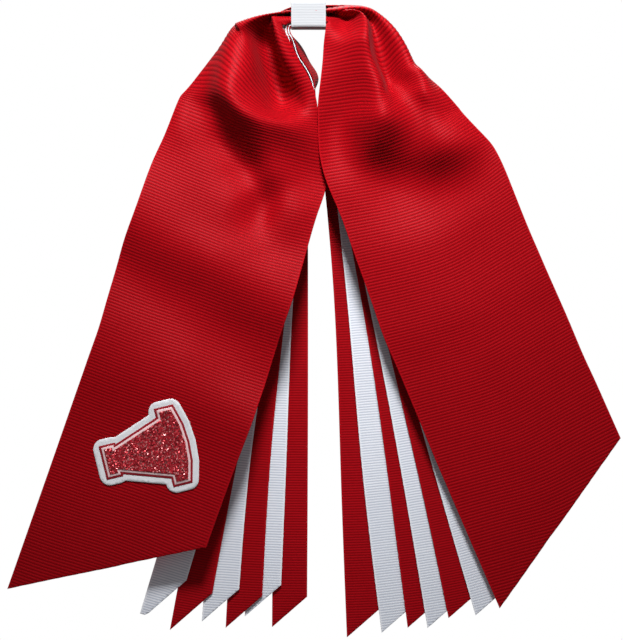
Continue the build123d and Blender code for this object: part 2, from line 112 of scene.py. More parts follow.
# Shape of the wide ribbon as crosswise rib lines, each "station: point, point, ...;".
# The station is the length along the ribbon from the swing line, negative towards the knot.
# Points run from the inner to the outer edge: X Y Z and, near the knot, share of the width.
NET = {"left": """
-92: -7.1 -8.1 -3.8 0, -7.1 -8.3 -2.5 0.08, -7.1 -7.4 -1.6 0.14, -7.1 0 -0.9 0.24,
    -7.1 7.3 -0.3 0.36, -7.1 0 0.4 0.48, -7.1 -8 1.2 0.6, -7.1 0 1.9 0.7,
    -7.1 7 2.6 0.8, -7.1 -1 3.2 1;
-84: -10.4 -9.2 -4.7 0, -12.8 -10.3 -3.2 0.06, -14.3 -10 -1.7 0.12, -13.6 -4 -1.3 0.24,
    -13.6 0 -1.5 0.36, -14.1 -4 -0.6 0.48, -14.5 -9.5 0.2 0.6, -14.9 -4 0.3 0.7,
    -14.9 3 0.4 0.8, -14.1 8 0.6 1;
-77: -11.5 -10 -5.8 0, -13.4 -12 -4.5 0.07, -15.2 -12.3 -2.8 0.12, -15.8 -7.5 -3.7 0.24,
    -18 -5.5 -3.7 0.36, -19.7 -8 -2.4 0.48, -21.4 -11 -1.3 0.6, -22.3 -7 -1.1 0.7,
    -22.3 1 -1.1 0.8, -20.1 9 -0.6 1;
-70: -8 -10.5 -12.3 0, -11 -12.8 -12.3 0.07, -13.6 -12.6 -10.6 0.12, -14.5 -4 -11.5 0.24,
    -18.4 1.5 -10.6 0.36, -23.2 -3.5 -8.2 0.48, -27.9 -10 -5 0.6, -30.1 -8 -3.9 0.7,
    -29.7 -2 -3.5 0.8, -26.2 8 -2.8 1;
-62: -3.2 -10.5 -21.9, -6.3 -12.7 -22.1, -9.1 -12.4 -21.9, -11.5 -4 -20.8, -14.2 1 -19.1,
    -17.5 2 -18.2, -21 -0.5 -16.7, -23.3 -4.5 -14.7, -26.6 -8.5 -10.6, -29.7 -10.8 -6.9,
    -31.4 -7 -5, -31 1.5 -4.5, -28.8 8 -4.1;
-52.5: 1.9 -10.3 -31.4, -0.2 -11.6 -31.8, -2.4 -10.5 -32.5, -4.5 -6 -34, -8 0.8 -35.9,
    -11.9 4 -36.8, -14.2 3.6 -35.6, -17.5 0.5 -31.8, -20.6 -5 -27.3, -23.6 -11.5 -22.3,
    -26.6 -15 -17.6, -30.5 -14.5 -12.3, -34 -8.5 -8.1, -34.6 -3 -7.6, -33.1 3 -7.8;
-37.5: 5 -9.2 -47.6, -0.6 -12 -47.2, -7.6 -15.2 -46.5, -14.2 -17.3 -45.6,
    -18.8 -18.6 -44.4, -22.5 -20 -42.9, -29.2 -21.5 -39.4, -33.1 -21.8 -36.6,
    -36.2 -21.2 -34.3, -39.4 -17.8 -32.7, -42 -12.8 -32, -44.4 -9.4 -31.7,
    -47 -7.8 -31.7, -49.4 -7.4 -31.6, -51.7 -6 -31.4;
-28: 7.1 -9 -55.9, 0.6 -11.8 -54.9, -5.8 -15.2 -53.6, -12.3 -17.8 -52.2, -18.8 -20 -50.6,
    -25.3 -20.8 -48.7, -30.1 -20 -46.9, -34 -17.2 -45, -37.5 -13.4 -43.2,
    -40.9 -10.2 -41.9, -44.4 -8.4 -40.7, -48.3 -7.8 -39.6, -52.2 -8.2 -38.3,
    -56.1 -7 -36.8;
-20: 8 -8.2 -65, 0.6 -9.6 -63.6, -5.8 -11.8 -62, -12.3 -14.2 -60.4, -18.8 -15.8 -58.6,
    -24.5 -15 -57, -28.4 -12.8 -55.8, -31.8 -10.6 -54.7, -36.2 -9 -53.3, -41.8 -9 -51.5,
    -47 -9.7 -49.8, -51.3 -10.3 -48.1, -55.6 -10.5 -46.3, -59.3 -8.5 -44.8;
-10: 7.6 -8.5 -75.6, 0.6 -9.8 -74.2, -5.8 -12 -72.7, -12.3 -14.3 -71.1, -18 -14 -69.6,
    -21.9 -11 -68.4, -25.3 -8.4 -67.4, -29.7 -8.6 -66, -35.7 -10.3 -64.1,
    -42.7 -11.6 -61.7, -49.1 -12 -59.1, -55.6 -11.8 -56.5, -62.8 -9.8 -53.7;
0: 4.5 -11.5 -85.2, -1.5 -13.5 -84, -7.1 -14.6 -82.7, -11.5 -13.6 -81.7, -15.8 -10 -80.7,
    -20.1 -9 -79.5, -25.3 -11.2 -77.9, -31.8 -13.2 -75.8, -38.3 -13.8 -73.5,
    -44.8 -13.8 -71, -51.3 -13.5 -68.5, -57.8 -12.8 -65.8, -66.7 -11.3 -62.1;
20: -1.2 -14.2 -104.5, -10.2 -14.5 -102.4, -19.2 -14.8 -100.2, -28.2 -15.9 -97.4,
    -37.2 -17 -94.1, -46.3 -17 -90.6, -55.3 -16.9 -87.2, -64.3 -16.7 -83.7,
    -73.3 -16.3 -80.2;
30: -3.9 -17.3 -114, -13 -17.7 -111.6, -22 -18 -109.2, -31.1 -18.8 -106.2,
    -40.2 -19.6 -102.9, -49.3 -19 -99.5, -58.4 -18.3 -96.3, -67.5 -17.5 -92.8,
    -76.6 -16.6 -89.3;
40: -6.6 -19.6 -123.5, -15.7 -19.3 -120.9, -24.9 -18.9 -118.1, -34.1 -19.2 -114.9,
    -43.2 -19.3 -111.6, -52.4 -18.2 -108.5, -61.6 -17 -105.3, -70.7 -15.7 -101.9,
    -79.9 -14.3 -98.4;
50: -9.8 -18.7 -132.8, -18.9 -17.8 -130.1, -28 -16.9 -127.3, -37.1 -16.6 -124.1,
    -46.2 -16.4 -120.8, -55.3 -15.1 -117.8, -64.4 -13.9 -114.7, -73.5 -12.8 -111.4,
    -82.6 -11.9 -107.9;
60: -13 -15.5 -142.1, -22 -14.7 -139.4, -31.1 -14 -136.5, -40.1 -14.2 -133.3,
    -49.1 -14.5 -130.1, -58.2 -13.7 -127.1, -67.2 -13.2 -124.1, -76.2 -12.8 -120.8,
    -85.3 -12.7 -117.3;
70: -16 -14 -151.7, -25 -13.7 -148.9, -34 -13.5 -145.9, -43 -14.2 -142.6,
    -52 -15.1 -139.4, -61 -15 -136.4, -70 -14.9 -133.5, -79 -14.5 -130.2,
    -88 -14 -126.7;
80: -18.9 -14.6 -161.2, -27.9 -14.8 -158.4, -36.9 -15.2 -155.3, -45.8 -16.3 -152,
    -54.8 -17.2 -148.7, -63.8 -16.7 -145.8, -72.8 -16.1 -142.9, -81.7 -15.3 -139.6,
    -90.7 -14.5 -136.1;
90: -22.1 -17.1 -170.6, -31.1 -17.3 -167.6, -40.1 -17.2 -164.4, -49.1 -17.7 -161,
    -58 -18 -157.9, -67 -17.1 -155, -76 -16.2 -152.2, -85 -15.1 -148.9, -94 -14 -145.5;
100: -25.3 -18.3 -179.9, -34.3 -17.7 -176.8, -43.3 -17.1 -173.5, -52.3 -17.3 -170.1,
    -61.3 -17.4 -167, -70.3 -16.3 -164.2, -79.3 -15.1 -161.4, -88.3 -14 -158.2,
    -97.3 -12.8 -154.8;
110: -28.9 -16.9 -189.2, -37.8 -16.3 -185.9, -46.8 -15.6 -182.6, -55.8 -15.7 -179.3,
    -64.7 -15.8 -176.3, -73.7 -14.7 -173.5, -82.7 -13.5 -170.6, -91.6 -12.4 -167.5,
    -100.6 -11.2 -164.1;
120: -32.4 -15.5 -198.5, -41.4 -14.9 -195.1, -50.3 -14.3 -191.8, -59.2 -14.4 -188.6,
    -68.2 -14.5 -185.6, -77.1 -13.4 -182.7, -86 -12.3 -179.8, -95 -11.1 -176.7,
    -103.9 -10 -173.5;
130: -35.9 -14.5 -208, -44.8 -13.9 -204.6, -53.7 -13.3 -201.2, -62.6 -13.4 -197.9,
    -71.5 -13.5 -194.8, -80.5 -12.4 -192, -89.4 -11.3 -189.1, -98.3 -10.2 -186.1,
    -107.2 -9 -182.9;
140: -39.3 -13.8 -217.4, -48.2 -13.2 -214, -57.1 -12.6 -210.6, -66 -12.8 -207.2,
    -74.9 -12.9 -204.1, -83.8 -11.8 -201.3, -92.7 -10.7 -198.5, -101.6 -9.5 -195.5,
    -110.5 -8.4 -192.3;
160: -46.1 -13.3 -236.4, -55 -12.7 -233, -63.9 -12.1 -229.4, -72.8 -12.2 -225.8,
    -81.6 -12.3 -222.6, -90.5 -11.2 -219.8, -99.4 -10.1 -217.1, -108.2 -9 -214.2,
    -117.1 -7.8 -211.1;
180: -53 -13 -255.4, -61.8 -12.4 -251.9, -70.7 -11.8 -248.2, -79.5 -11.9 -244.5,
    -88.3 -12 -241.2, -97.2 -10.9 -238.4, -106 -9.8 -235.8, -114.9 -8.7 -233,
    -123.7 -7.6 -229.9;
210: -63.3 -12.8 -283.8, -72.1 -12.2 -280.3, -80.9 -11.6 -276.5, -89.6 -11.7 -272.4,
    -98.4 -11.8 -269, -107.2 -10.8 -266.2, -116 -9.7 -263.7, -124.8 -8.5 -261.1,
    -133.6 -7.4 -258.1
""", "right": """
-92: 7.1 -8.1 -3.8 0, 7.1 -8.3 -2.5 0.08, 7.1 -7.4 -1.5 0.14, 7.1 0 -0.8 0.24,
    7.1 7.3 0 0.36, 7.1 0 0.6 0.48, 7.1 -8 1.5 0.6, 7.1 0 2.4 0.7, 7.1 7 3.1 0.8,
    7.1 -1 3.9 1;
-84: 8 -9 -4.5 0, 10.6 -8 -3.7 0.1, 13.6 0 -1.9 0.2, 15.8 1 -0.4 0.27,
    17.5 -9 1.3 0.34, 18.8 -12 1.9 0.4, 20.1 -6 1.7 0.48, 21 0 1.5 0.56,
    21.9 -4 2.2 0.64, 22.7 -8.5 3 0.7, 22.7 -3 3.7 0.78, 21.4 4 4.1 0.88,
    18.8 8 4.3 1;
-77: 7.6 -11 -6.1 0, 11.9 -9.3 -5.8 0.1, 15.4 -2.5 -4.8 0.18, 18 1 -2.8 0.25,
    21 -6 -0.9 0.31, 23.6 -13.5 -0.2 0.37, 25.1 -14.8 -1.9 0.41, 26 -8 -3.7 0.47,
    27.1 -1.5 -4.5 0.54, 28.6 -3 -2.8 0.62, 30.1 -8 -0.6 0.7, 30.1 -5 0.6 0.78,
    28.4 2 1.7 0.88, 25.8 7 2.4 1;
-70: 6.7 -11.5 -12.5, 11.9 -12.6 -11.5, 15.8 -12.6 -9.9, 18.8 -13 -8.8, 22.7 -16 -7.7,
    25 -17.5 -8, 26 -13 -9.3, 27.1 -8 -11, 28.8 -4 -12.6, 30.5 -3 -12.3,
    32.7 -4 -10.2, 34.9 -6.5 -8, 36.8 -7.5 -6.3, 37.2 -4 -5.6, 35.7 1 -4.8,
    33.6 6 -3.9;
-64: 6.3 -12 -18, 11.9 -13 -16.8, 16.2 -14.3 -15.2, 19.7 -16 -14.1, 23.2 -17.8 -13.8,
    25.1 -18.3 -14.3, 26.6 -14.5 -16.2, 28.4 -9.5 -19.1, 30.3 -5 -22.1, 32.3 -3.5 -23.4,
    34.9 -4.5 -21.6, 37.5 -7 -18.6, 40.1 -9 -16, 42 -9.5 -14.7, 42.9 -6.5 -14.5,
    41.8 -1 -13.9, 39.6 4 -12.8;
-57: 5.5 -12.8 -25.7, 14.1 -13.2 -24.2, 22.3 -15.8 -23.2, 25.8 -17.8 -23.3,
    28.4 -18 -24.6, 30.7 -14.5 -26.2, 32.7 -8 -28.6, 34.4 -4.5 -29.9, 37 -5.5 -27.7,
    40.9 -9.5 -24.5, 44.4 -11.5 -22.3, 45.9 -9 -21.9, 45.5 -4 -21.2, 43.1 1 -20.1;
-49.2: 4.5 -12.8 -34, 14.1 -11.8 -32, 22.3 -14.8 -30.9, 26.6 -18 -31.1, 30.5 -20.5 -32.2,
    32.7 -17.5 -33.1, 34.6 -11 -33.8, 37.2 -8 -32, 40.1 -9 -29.7, 43.1 -11.5 -27.5,
    46.1 -13.5 -25.8, 48.1 -14.3 -24.9, 49.1 -12 -24.7, 48.9 -8 -24.2, 47 -3.5 -23.4;
-44.2: 4 -12.6 -39.4, 9.3 -11 -38.8, 15.8 -10.8 -37.9, 22.3 -14 -37.2, 26.6 -18 -37.5,
    31 -21 -37.8, 33.6 -19.5 -37, 35.7 -14 -35.7, 38.3 -10 -34.2, 40.9 -10 -32.7,
    44.8 -12.5 -30.7, 48.1 -14.5 -29.4, 50 -15 -29.1, 51.5 -12.5 -28.7, 52.7 -9 -28.4,
    52 -5 -27.7;
-36.6: 4.1 -12.2 -47.7, 9.3 -10.4 -46.9, 15.8 -10.7 -46.1, 22.3 -14.3 -45.5,
    28.6 -18 -45, 32.7 -19.2 -43.7, 35.7 -17.7 -41.8, 39 -14.3 -39.7, 43.1 -12.5 -37.5,
    47.4 -13.3 -35.6, 50.9 -15 -34.9, 53.5 -13.3 -34.3, 56.1 -10.8 -33.3,
    57.6 -9.5 -32.6;
-29: 4.3 -12 -55.9, 9.3 -10.4 -55.2, 15.8 -10.5 -54.4, 22.3 -13 -53.8, 28.8 -15.7 -53,
    34.9 -16.2 -50.7, 39.6 -15 -48.4, 43.9 -13.4 -46.3, 48.3 -12.6 -44.2,
    51.3 -12.9 -42.8, 54.3 -13 -42.3, 57.4 -11.7 -41.6, 60.8 -10.4 -40.5, 63.9 -9 -39.4;
-20: 5.6 -12.2 -65.6, 10.6 -11.2 -64.8, 15.8 -10.9 -63.8, 22.3 -11.8 -62.7,
    28.8 -12.9 -61.5, 35.3 -13 -60, 41.8 -12.6 -57.9, 48.3 -13.2 -55, 54.8 -14.2 -51.5,
    61.3 -12.8 -47.4, 66.9 -10 -43.3;
-10: 8.7 -12.8 -75.6, 15.8 -12.4 -74.4, 22.3 -11 -73.2, 28.8 -9.6 -71.8, 35.3 -9 -70.2,
    41.8 -9.4 -68.1, 48.3 -11.4 -65.6, 54.8 -14.8 -62.3, 61.3 -16.6 -58.7,
    67.8 -15.2 -54.6, 74.3 -11 -51.1;
0: 12.8 -13 -85.1, 22.3 -12.4 -83.4, 28.8 -11.2 -82.2, 35.3 -9.8 -80.7, 41.8 -9 -78.7,
    48.3 -9 -76.2, 54.8 -10 -73.1, 61.3 -11.6 -69.7, 69.9 -13 -64.8, 80.1 -11.5 -57.8;
20: 19.7 -13.3 -104.2, 28.3 -13.1 -102.4, 36.8 -12.7 -100.5, 45.4 -12 -98.2,
    54 -11.5 -95.4, 62.6 -11.8 -91.3, 71.1 -12.5 -86.4, 79.7 -12.7 -81.3,
    88.3 -12.8 -75.6;
30: 23.1 -12.7 -113.6, 31.7 -12.7 -111.7, 40.3 -12.6 -109.8, 48.9 -12.3 -107.4,
    57.5 -12.1 -104.5, 66.1 -12.3 -100.4, 74.7 -12.6 -95.3, 83.3 -12.7 -90.2,
    91.9 -12.7 -84.8;
40: 26.5 -12.1 -123, 35.1 -12.2 -121.1, 43.8 -12.2 -119, 52.4 -12.2 -116.7,
    61 -12.2 -113.7, 69.7 -12.3 -109.5, 78.3 -12.5 -104.3, 86.9 -12.7 -99.2,
    95.6 -12.7 -93.9;
50: 29.7 -11.7 -132.3, 38.5 -11.9 -130.3, 47.2 -12 -128.1, 55.9 -12.2 -125.7,
    64.6 -12.3 -122.8, 73.3 -12.4 -118.5, 82 -12.5 -113.4, 90.8 -12.6 -108.2,
    99.5 -12.7 -102.9;
60: 33 -11.3 -141.6, 41.8 -11.6 -139.5, 50.6 -11.8 -137.2, 59.4 -12 -134.8,
    68.2 -12.2 -131.8, 77 -12.3 -127.6, 85.8 -12.4 -122.4, 94.6 -12.5 -117.3,
    103.4 -12.6 -111.9;
70: 37 -10.5 -150.7, 45.8 -10.8 -148.5, 54.6 -11.1 -146.2, 63.4 -11.3 -143.7,
    72.2 -11.6 -140.7, 81 -11.8 -136.4, 89.8 -11.9 -131.3, 98.6 -12 -126.2,
    107.4 -12.1 -120.9;
80: 40.9 -10 -159.7, 49.8 -10.3 -157.5, 58.6 -10.6 -155.1, 67.4 -10.8 -152.6,
    76.2 -11.1 -149.6, 85 -11.3 -145.3, 93.8 -11.4 -140.2, 102.6 -11.6 -135.1,
    111.4 -11.6 -129.9;
90: 44.7 -9.6 -168.8, 53.5 -9.9 -166.5, 62.4 -10.1 -164.2, 71.2 -10.4 -161.7,
    80 -10.6 -158.6, 88.8 -10.8 -154.3, 97.7 -11 -149.3, 106.5 -11.1 -144.2,
    115.3 -11.2 -139.1;
100: 48.5 -9.1 -177.8, 57.3 -9.4 -175.6, 66.1 -9.6 -173.2, 75 -9.9 -170.7,
    83.8 -10.1 -167.6, 92.7 -10.3 -163.4, 101.5 -10.5 -158.3, 110.4 -10.6 -153.3,
    119.2 -10.7 -148.3;
110: 52.2 -8.6 -186.9, 61.1 -8.9 -184.6, 70 -9.2 -182.2, 78.9 -9.4 -179.7,
    87.9 -9.6 -176.7, 96.8 -9.8 -172.4, 105.7 -10 -167.4, 114.6 -10.1 -162.5,
    123.5 -10.2 -157.5;
120: 56 -8.2 -196, 65 -8.4 -193.6, 73.9 -8.7 -191.1, 82.9 -9 -188.7, 91.9 -9.2 -185.7,
    100.8 -9.4 -181.5, 109.8 -9.6 -176.5, 118.8 -9.7 -171.7, 127.7 -9.8 -166.8;
130: 60 -7.7 -205.2, 69 -8 -202.8, 78 -8.3 -200.3, 87 -8.5 -197.9, 96 -8.7 -194.9,
    105 -8.9 -190.8, 114 -9.1 -185.9, 123 -9.2 -181.2, 132 -9.3 -176.5;
140: 64 -7.2 -214.5, 73 -7.5 -212, 82.1 -7.8 -209.5, 91.1 -8.1 -207.1, 100.1 -8.3 -204.2,
    109.2 -8.5 -200.1, 118.2 -8.7 -195.3, 127.3 -8.8 -190.7, 136.3 -8.8 -186.2;
160: 72 -6.5 -233, 81.1 -6.8 -230.5, 90.2 -7.1 -227.9, 99.3 -7.3 -225.5,
    108.4 -7.6 -222.7, 117.5 -7.8 -218.6, 126.6 -7.9 -214.1, 135.7 -8.1 -209.7,
    144.8 -8.1 -205.6;
180: 80 -6 -251.4, 89.2 -6.3 -248.9, 98.3 -6.5 -246.3, 107.5 -6.8 -243.9,
    116.7 -7 -241.1, 125.9 -7.2 -237.2, 135 -7.4 -232.8, 144.2 -7.5 -228.8,
    153.4 -7.6 -225;
210: 92 -5.1 -279.2, 101.2 -5.4 -276.6, 110.5 -5.7 -273.9, 119.8 -5.9 -271.6,
    129.1 -6.2 -268.9, 138.4 -6.4 -265.1, 147.7 -6.5 -261, 157 -6.7 -257.3,
    166.2 -6.7 -254.1
"""}


# ---------------------------------------------------------------- small helpers
def read_net(text):
    """The rib lines of a net as (station, array of points)."""
    net = []
    for line in text.split(";"):
        station, points = line.split(":")
        rows = [point.split() for point in points.split(",")]
        net.append((float(station), np.array(rows, float)))
    return net


def smooth(t):
    t = np.clip(t, 0.0, 1.0)
    return t * t * (3 - 2 * t)


def lengths(points):
    """Running length along a line of points."""
    steps = np.linalg.norm(np.diff(points, axis=0), axis=1)
    return np.concatenate([[0], np.cumsum(steps)])


def unit(vectors):
    return vectors / np.linalg.norm(vectors, axis=1, keepdims=True)


def spline(x, y, at):
    """Natural cubic spline through (x, y). y may hold several values per point."""
    x, at = np.asarray(x, float), np.asarray(at, float)
    y = np.asarray(y, float).reshape(len(x), -1)
    count, gap = len(x), np.diff(x)
    matrix = np.eye(count)
    right = np.zeros_like(y)
    for i in range(1, count - 1):
        matrix[i, i - 1 : i + 2] = gap[i - 1], 2 * (gap[i - 1] + gap[i]), gap[i]
        right[i] = 6 * ((y[i + 1] - y[i]) / gap[i] - (y[i] - y[i - 1]) / gap[i - 1])
    curve = np.linalg.solve(matrix, right)
    i = np.clip(np.searchsorted(x, at, side="right") - 1, 0, count - 2)
    past, left, span = (at - x[i])[:, None], (x[i + 1] - at)[:, None], gap[i][:, None]
    return (
        (curve[i] * left**3 + curve[i + 1] * past**3) / (6 * span)
        + (y[i] / span - curve[i] * span / 6) * left
        + (y[i + 1] / span - curve[i + 1] * span / 6) * past
    )


def grid_normals(grid):
    normals = np.cross(np.gradient(grid, axis=1), np.gradient(grid, axis=0))
    return normals / np.maximum(np.linalg.norm(normals, axis=2, keepdims=True), 1e-9)


def noise1(x, seed, scale):
    """Smooth deterministic noise of one value, about -1 to 1."""
    rng = np.random.default_rng(seed)
    total = np.zeros_like(x, dtype=float)
    for k in range(4):
        wave = np.sin(x / scale * (1 + 0.83 * k) + rng.uniform(0, 6.3))
        total += wave * rng.uniform(0.4, 1) / (1 + k)
    return total / 1.6


def new_object(name, verts_mm, faces, uvs):
    mesh = bpy.data.meshes.new(name)
    mesh.from_pydata((verts_mm * MM).tolist(), [], faces)
    layer = mesh.uv_layers.new(name="UVMap")
    loops = np.zeros(len(mesh.loops), np.int32)
    mesh.loops.foreach_get("vertex_index", loops)
    layer.data.foreach_set("uv", np.asarray(uvs, np.float32)[loops].ravel())
    mesh.polygons.foreach_set("use_smooth", [True] * len(mesh.polygons))
    mesh.validate()
    mesh.update()
    ob = bpy.data.objects.new(name, mesh)
    bpy.context.scene.collection.objects.link(ob)
    return ob


# ---------------------------------------------------------------- ribbons in general
def ribbon_mesh(name, centre, across, along, thick, rib_pitch, rib_height, selvage, ends=None):
    """A woven ribbon with real ribs.

    centre is a grid (along, across, 3) of its middle surface. ends gives, for each column,
    the length where the ribbon is cut.
    """
    row_count, column_count = centre.shape[:2]
    last_row = np.full(column_count, row_count - 1)
    middle = centre.copy()
    lengthwise = np.repeat(along[:, None], column_count, 1)
    if ends is not None:
        for j, end in enumerate(ends):
            k = min(max(int(np.searchsorted(along, end)), 1), row_count - 1)
            t = (end - along[k - 1]) / (along[k] - along[k - 1])
            middle[k, j] = centre[k - 1, j] * (1 - t) + centre[k, j] * t
            lengthwise[k, j] = end
            last_row[j] = k

    # ribs: round tops, narrow grooves; they fade into the woven selvage at both edges
    rib = 1 - np.abs(np.cos(np.pi * (lengthwise / rib_pitch))) ** 3
    edge = np.minimum(across, across[-1] - across)
    body = smooth(edge / selvage)[None, :]
    rounded = np.sqrt(np.clip(1 - (1 - np.clip(edge / (thick * 0.55), 0, 1)) ** 2, 0, 1))[None, :]
    half = (thick / 2 - rib_height) * (0.35 + 0.65 * rounded) + rib_height * (
        rib * body + 0.75 * (1 - body)
    ) * (0.4 + 0.6 * rounded)
    if ends is not None:
        # the heat-sealed end is pressed a little thinner
        half = half * (0.55 + 0.45 * np.clip((ends[None, :] - lengthwise) / 0.7, 0, 1))
    offset = grid_normals(centre) * half[..., None]

    # rows past a column's cut fold into its last vertex
    index = np.zeros((row_count, column_count), int)
    rows, columns = [], []
    for j, last in enumerate(last_row):
        index[:, j] = len(rows) + np.minimum(np.arange(row_count), last)
        rows.extend(range(last + 1))
        columns.extend([j] * (last + 1))
    count = len(rows)
    corners = [index[:-1, :-1], index[:-1, 1:], index[1:, 1:], index[1:, :-1]]
    rings = [list(dict.fromkeys(q)) for q in np.stack(corners, -1).reshape(-1, 4).tolist()]
    faces = [ring for ring in rings if len(ring) >= 3]
    # a dict keeps the edges in order
    edges = dict.fromkeys(pair for ring in faces for pair in zip(ring, ring[1:] + ring[:1]))
    back_faces = [[a + count for a in reversed(ring)] for ring in faces]
    walls = [[b, a, a + count, b + count] for a, b in edges if (b, a) not in edges]
    verts = np.concatenate([(middle + offset)[rows, columns], (middle - offset)[rows, columns]])
    uv = np.stack([across[columns] / UV_MM, lengthwise[rows, columns] / UV_MM], 1)
    return new_object(name, verts, faces + back_faces + walls, np.concatenate([uv, uv]))


def cut_lengths(centre, along, start, end):
    """Length along the ribbon where each column meets the cut through two points (X, Z)."""
    start = np.array(start, float)
    cut = np.array(end, float) - start
    normal = np.array([-cut[1], cut[0]]) / np.linalg.norm(cut)
    if normal[1] > 0:
        normal = -normal                                 # points down, past the cut
    past = (centre[..., [0, 2]] - start) @ normal
    ends = []
    for j in range(centre.shape[1]):
        crossings = np.where((past[:-1, j] < 0) & (past[1:, j] >= 0))[0]
        if len(crossings) == 0:                          # the grid stops short of the cut
            ends.append(along[-2])
            continue
        k = crossings[0]
        t = -past[k, j] / (past[k + 1, j] - past[k, j])
        ends.append(along[k] * (1 - t) + along[k + 1] * t)
    return np.array(ends)


def edge_columns(width, count, fine):
    """Columns across a ribbon, closer together at the two selvages."""
    inner = np.linspace(3 * fine, width - 3 * fine, count - 6)
    side = np.array([0, fine * 0.6, fine * 1.6])
    return np.concatenate([side, inner, (width - side)[::-1]])


# ---------------------------------------------------------------- wide ribbon
def deepen(row):
    """Scales a rib line's folds in depth until the line is as long as the ribbon is wide."""
    t = np.linspace(0, 1, len(row))
    base = row[0, 1] * (1 - t) + row[-1, 1] * t
    for factor in np.linspace(1.0, 1.9, 37):
        deeper = row.copy()
        deeper[:, 1] = base + (row[:, 1] - base) * factor
        if np.linalg.norm(np.diff(deeper, axis=0), axis=1).sum() >= WIDE_W * 0.985:
            break
    return deeper


def neighbour_groups(row_count, column_count, row_gap, column_gap):
    """Pairs of neighbours (index, index, rest length); no point occurs twice in a group."""
    diagonal = math.hypot(column_gap, row_gap)
    groups = []
    for start in (0, 1):
        a = np.arange(start, column_count - 1, 2)
        groups.append((np.s_[:, a], np.s_[:, a + 1], column_gap))
        b = np.arange(start, row_count - 1, 2)
        groups.append((np.s_[b, :], np.s_[b + 1, :], row_gap))
        for side_start in (0, 1):
            c = np.arange(side_start, column_count - 1, 2)
            groups.append((np.ix_(b, c), np.ix_(b + 1, c + 1), diagonal))
            groups.append((np.ix_(b, c + 1), np.ix_(b + 1, c), diagonal))
    return groups


def relax(target, along, row_gap, column_gap):
    """Lets the surface find the ribbon's own width and length while it keeps near its target."""
    stretch, squeeze = 0.30, 0.03                        # corrections; ribbon barely stretches
    passes, softness, edge_softness = 60, 0.06, 0.3
    back_limit, fixed_above = 8.3, -93.5                 # Y, and length along
    tail = smooth(along / 20)[:, None]
    pull_xz = 0.30 * (1 - tail) + 0.20 * tail
    pull = np.stack([pull_xz, np.full_like(pull_xz, 0.10), pull_xz], -1)
    groups = neighbour_groups(*target.shape[:2], row_gap, column_gap)
    fixed = along < fixed_above
    grid = target.copy()
    for _ in range(passes):
        for one, other, rest in groups:
            a, b = grid[one], grid[other]
            gap = b - a
            size = np.linalg.norm(gap, axis=-1, keepdims=True)
            strength = np.where(size > rest, stretch, squeeze)
            move = gap * (strength * (1 - rest / np.maximum(size, 1e-6)))
            grid[one] = a + move
            grid[other] = b - move
        grid += (target - grid) * pull
        # a woven ribbon bends softly
        for _ in range(2):
            lap = np.zeros_like(grid)
            lap[1:-1] += grid[2:] + grid[:-2] - 2 * grid[1:-1]
            lap[:, 1:-1] += grid[:, 2:] + grid[:, :-2] - 2 * grid[:, 1:-1]
            lap[:, 0] *= edge_softness
            lap[:, -1] *= edge_softness
            grid += lap * softness
        grid[..., 1] = np.minimum(grid[..., 1], back_limit)
        grid[fixed] = target[fixed]
    return grid


def wide_surface(net):
    """Relaxed smooth surface through the rib lines: along, across, grid of points."""
    share = np.linspace(0, 1, WIDE_COLUMNS)
    rows, stations = [], []
    for station, points in net:
        xyz = points[:, :3]
        if points.shape[1] == 4:
            place = points[:, 3]
        else:
            run = lengths(xyz)
            place = run / run[-1]
        row = spline(place, xyz, share)
        if -76 < station < 5:
            row = deepen(row)
        rows.append(row)
        stations.append(station)
    # straight run to the middle of the knot
    first = rows[0].copy()
    first[:, 0] = 0.0
    stations.insert(0, stations[0] - abs(rows[0][0, 0]))
    rows.insert(0, first)
    row_count = int(round((stations[-1] - stations[0]) / WIDE_STEP)) + 1
    along = np.linspace(stations[0], stations[-1], row_count)
    target = spline(stations, np.array(rows).reshape(len(rows), -1), along)
    target = target.reshape(row_count, WIDE_COLUMNS, 3)
    row_gap = (along[-1] - along[0]) / (row_count - 1)
    grid = relax(target, along, row_gap, WIDE_W / (WIDE_COLUMNS - 1))
    return along, share * WIDE_W, grid


def refine(along, across, grid, new_along, new_across):
    rows = spline(along, grid.reshape(len(along), -1), new_along)
    rows = rows.reshape(len(new_along), len(across), 3).transpose(1, 0, 2)
    both = spline(across, rows.reshape(len(across), -1), new_across)
    return both.reshape(len(new_across), len(new_along), 3).transpose(1, 0, 2)


def wide_ribbon(side):
    """The wide ribbon of one side and its coarse middle surface."""
    sign = SIGN[side]
    coarse_along, coarse_across, coarse = wide_surface(read_net(NET[side]))
    along = np.arange(coarse_along[0], coarse_along[-1], WIDE_RIB / SAMPLES_PER_RIB)
    across = edge_columns(WIDE_W, count=54, fine=0.33)
    grid = refine(coarse_along, coarse_across, coarse, along, across)
    # faint unevenness of a handled ribbon
    soft = 0.10 * noise1(across[None, :] + 0.35 * along[:, None], 3 + sign, 7.0)
    grid[..., 1] += soft * smooth((along + 60) / 60)[:, None]
    ends = cut_lengths(grid, along, *CUT[side])
    ends = ends + 0.10 * noise1(across, 21 + sign, 0.9) + 0.15 * noise1(across, 33 + sign, 6.0)
    if side == "right":                                  # the front is -Y on both halves
        grid, ends = grid[:, ::-1], ends[::-1]
    ob = ribbon_mesh(f"wide_ribbon_{side}", grid, across, along, WIDE_T, WIDE_RIB,
                     rib_height=0.17, selvage=0.9, ends=ends)
    return ob, coarse


wide, wide_middle = {}, {}
for side in SIDES:
    wide[side], wide_middle[side] = wide_ribbon(side)


# ---------------------------------------------------------------- narrow streamers
def layer_y(side, k):
    return LAYER_Y[side] - LEG_PITCH * (k - 1)


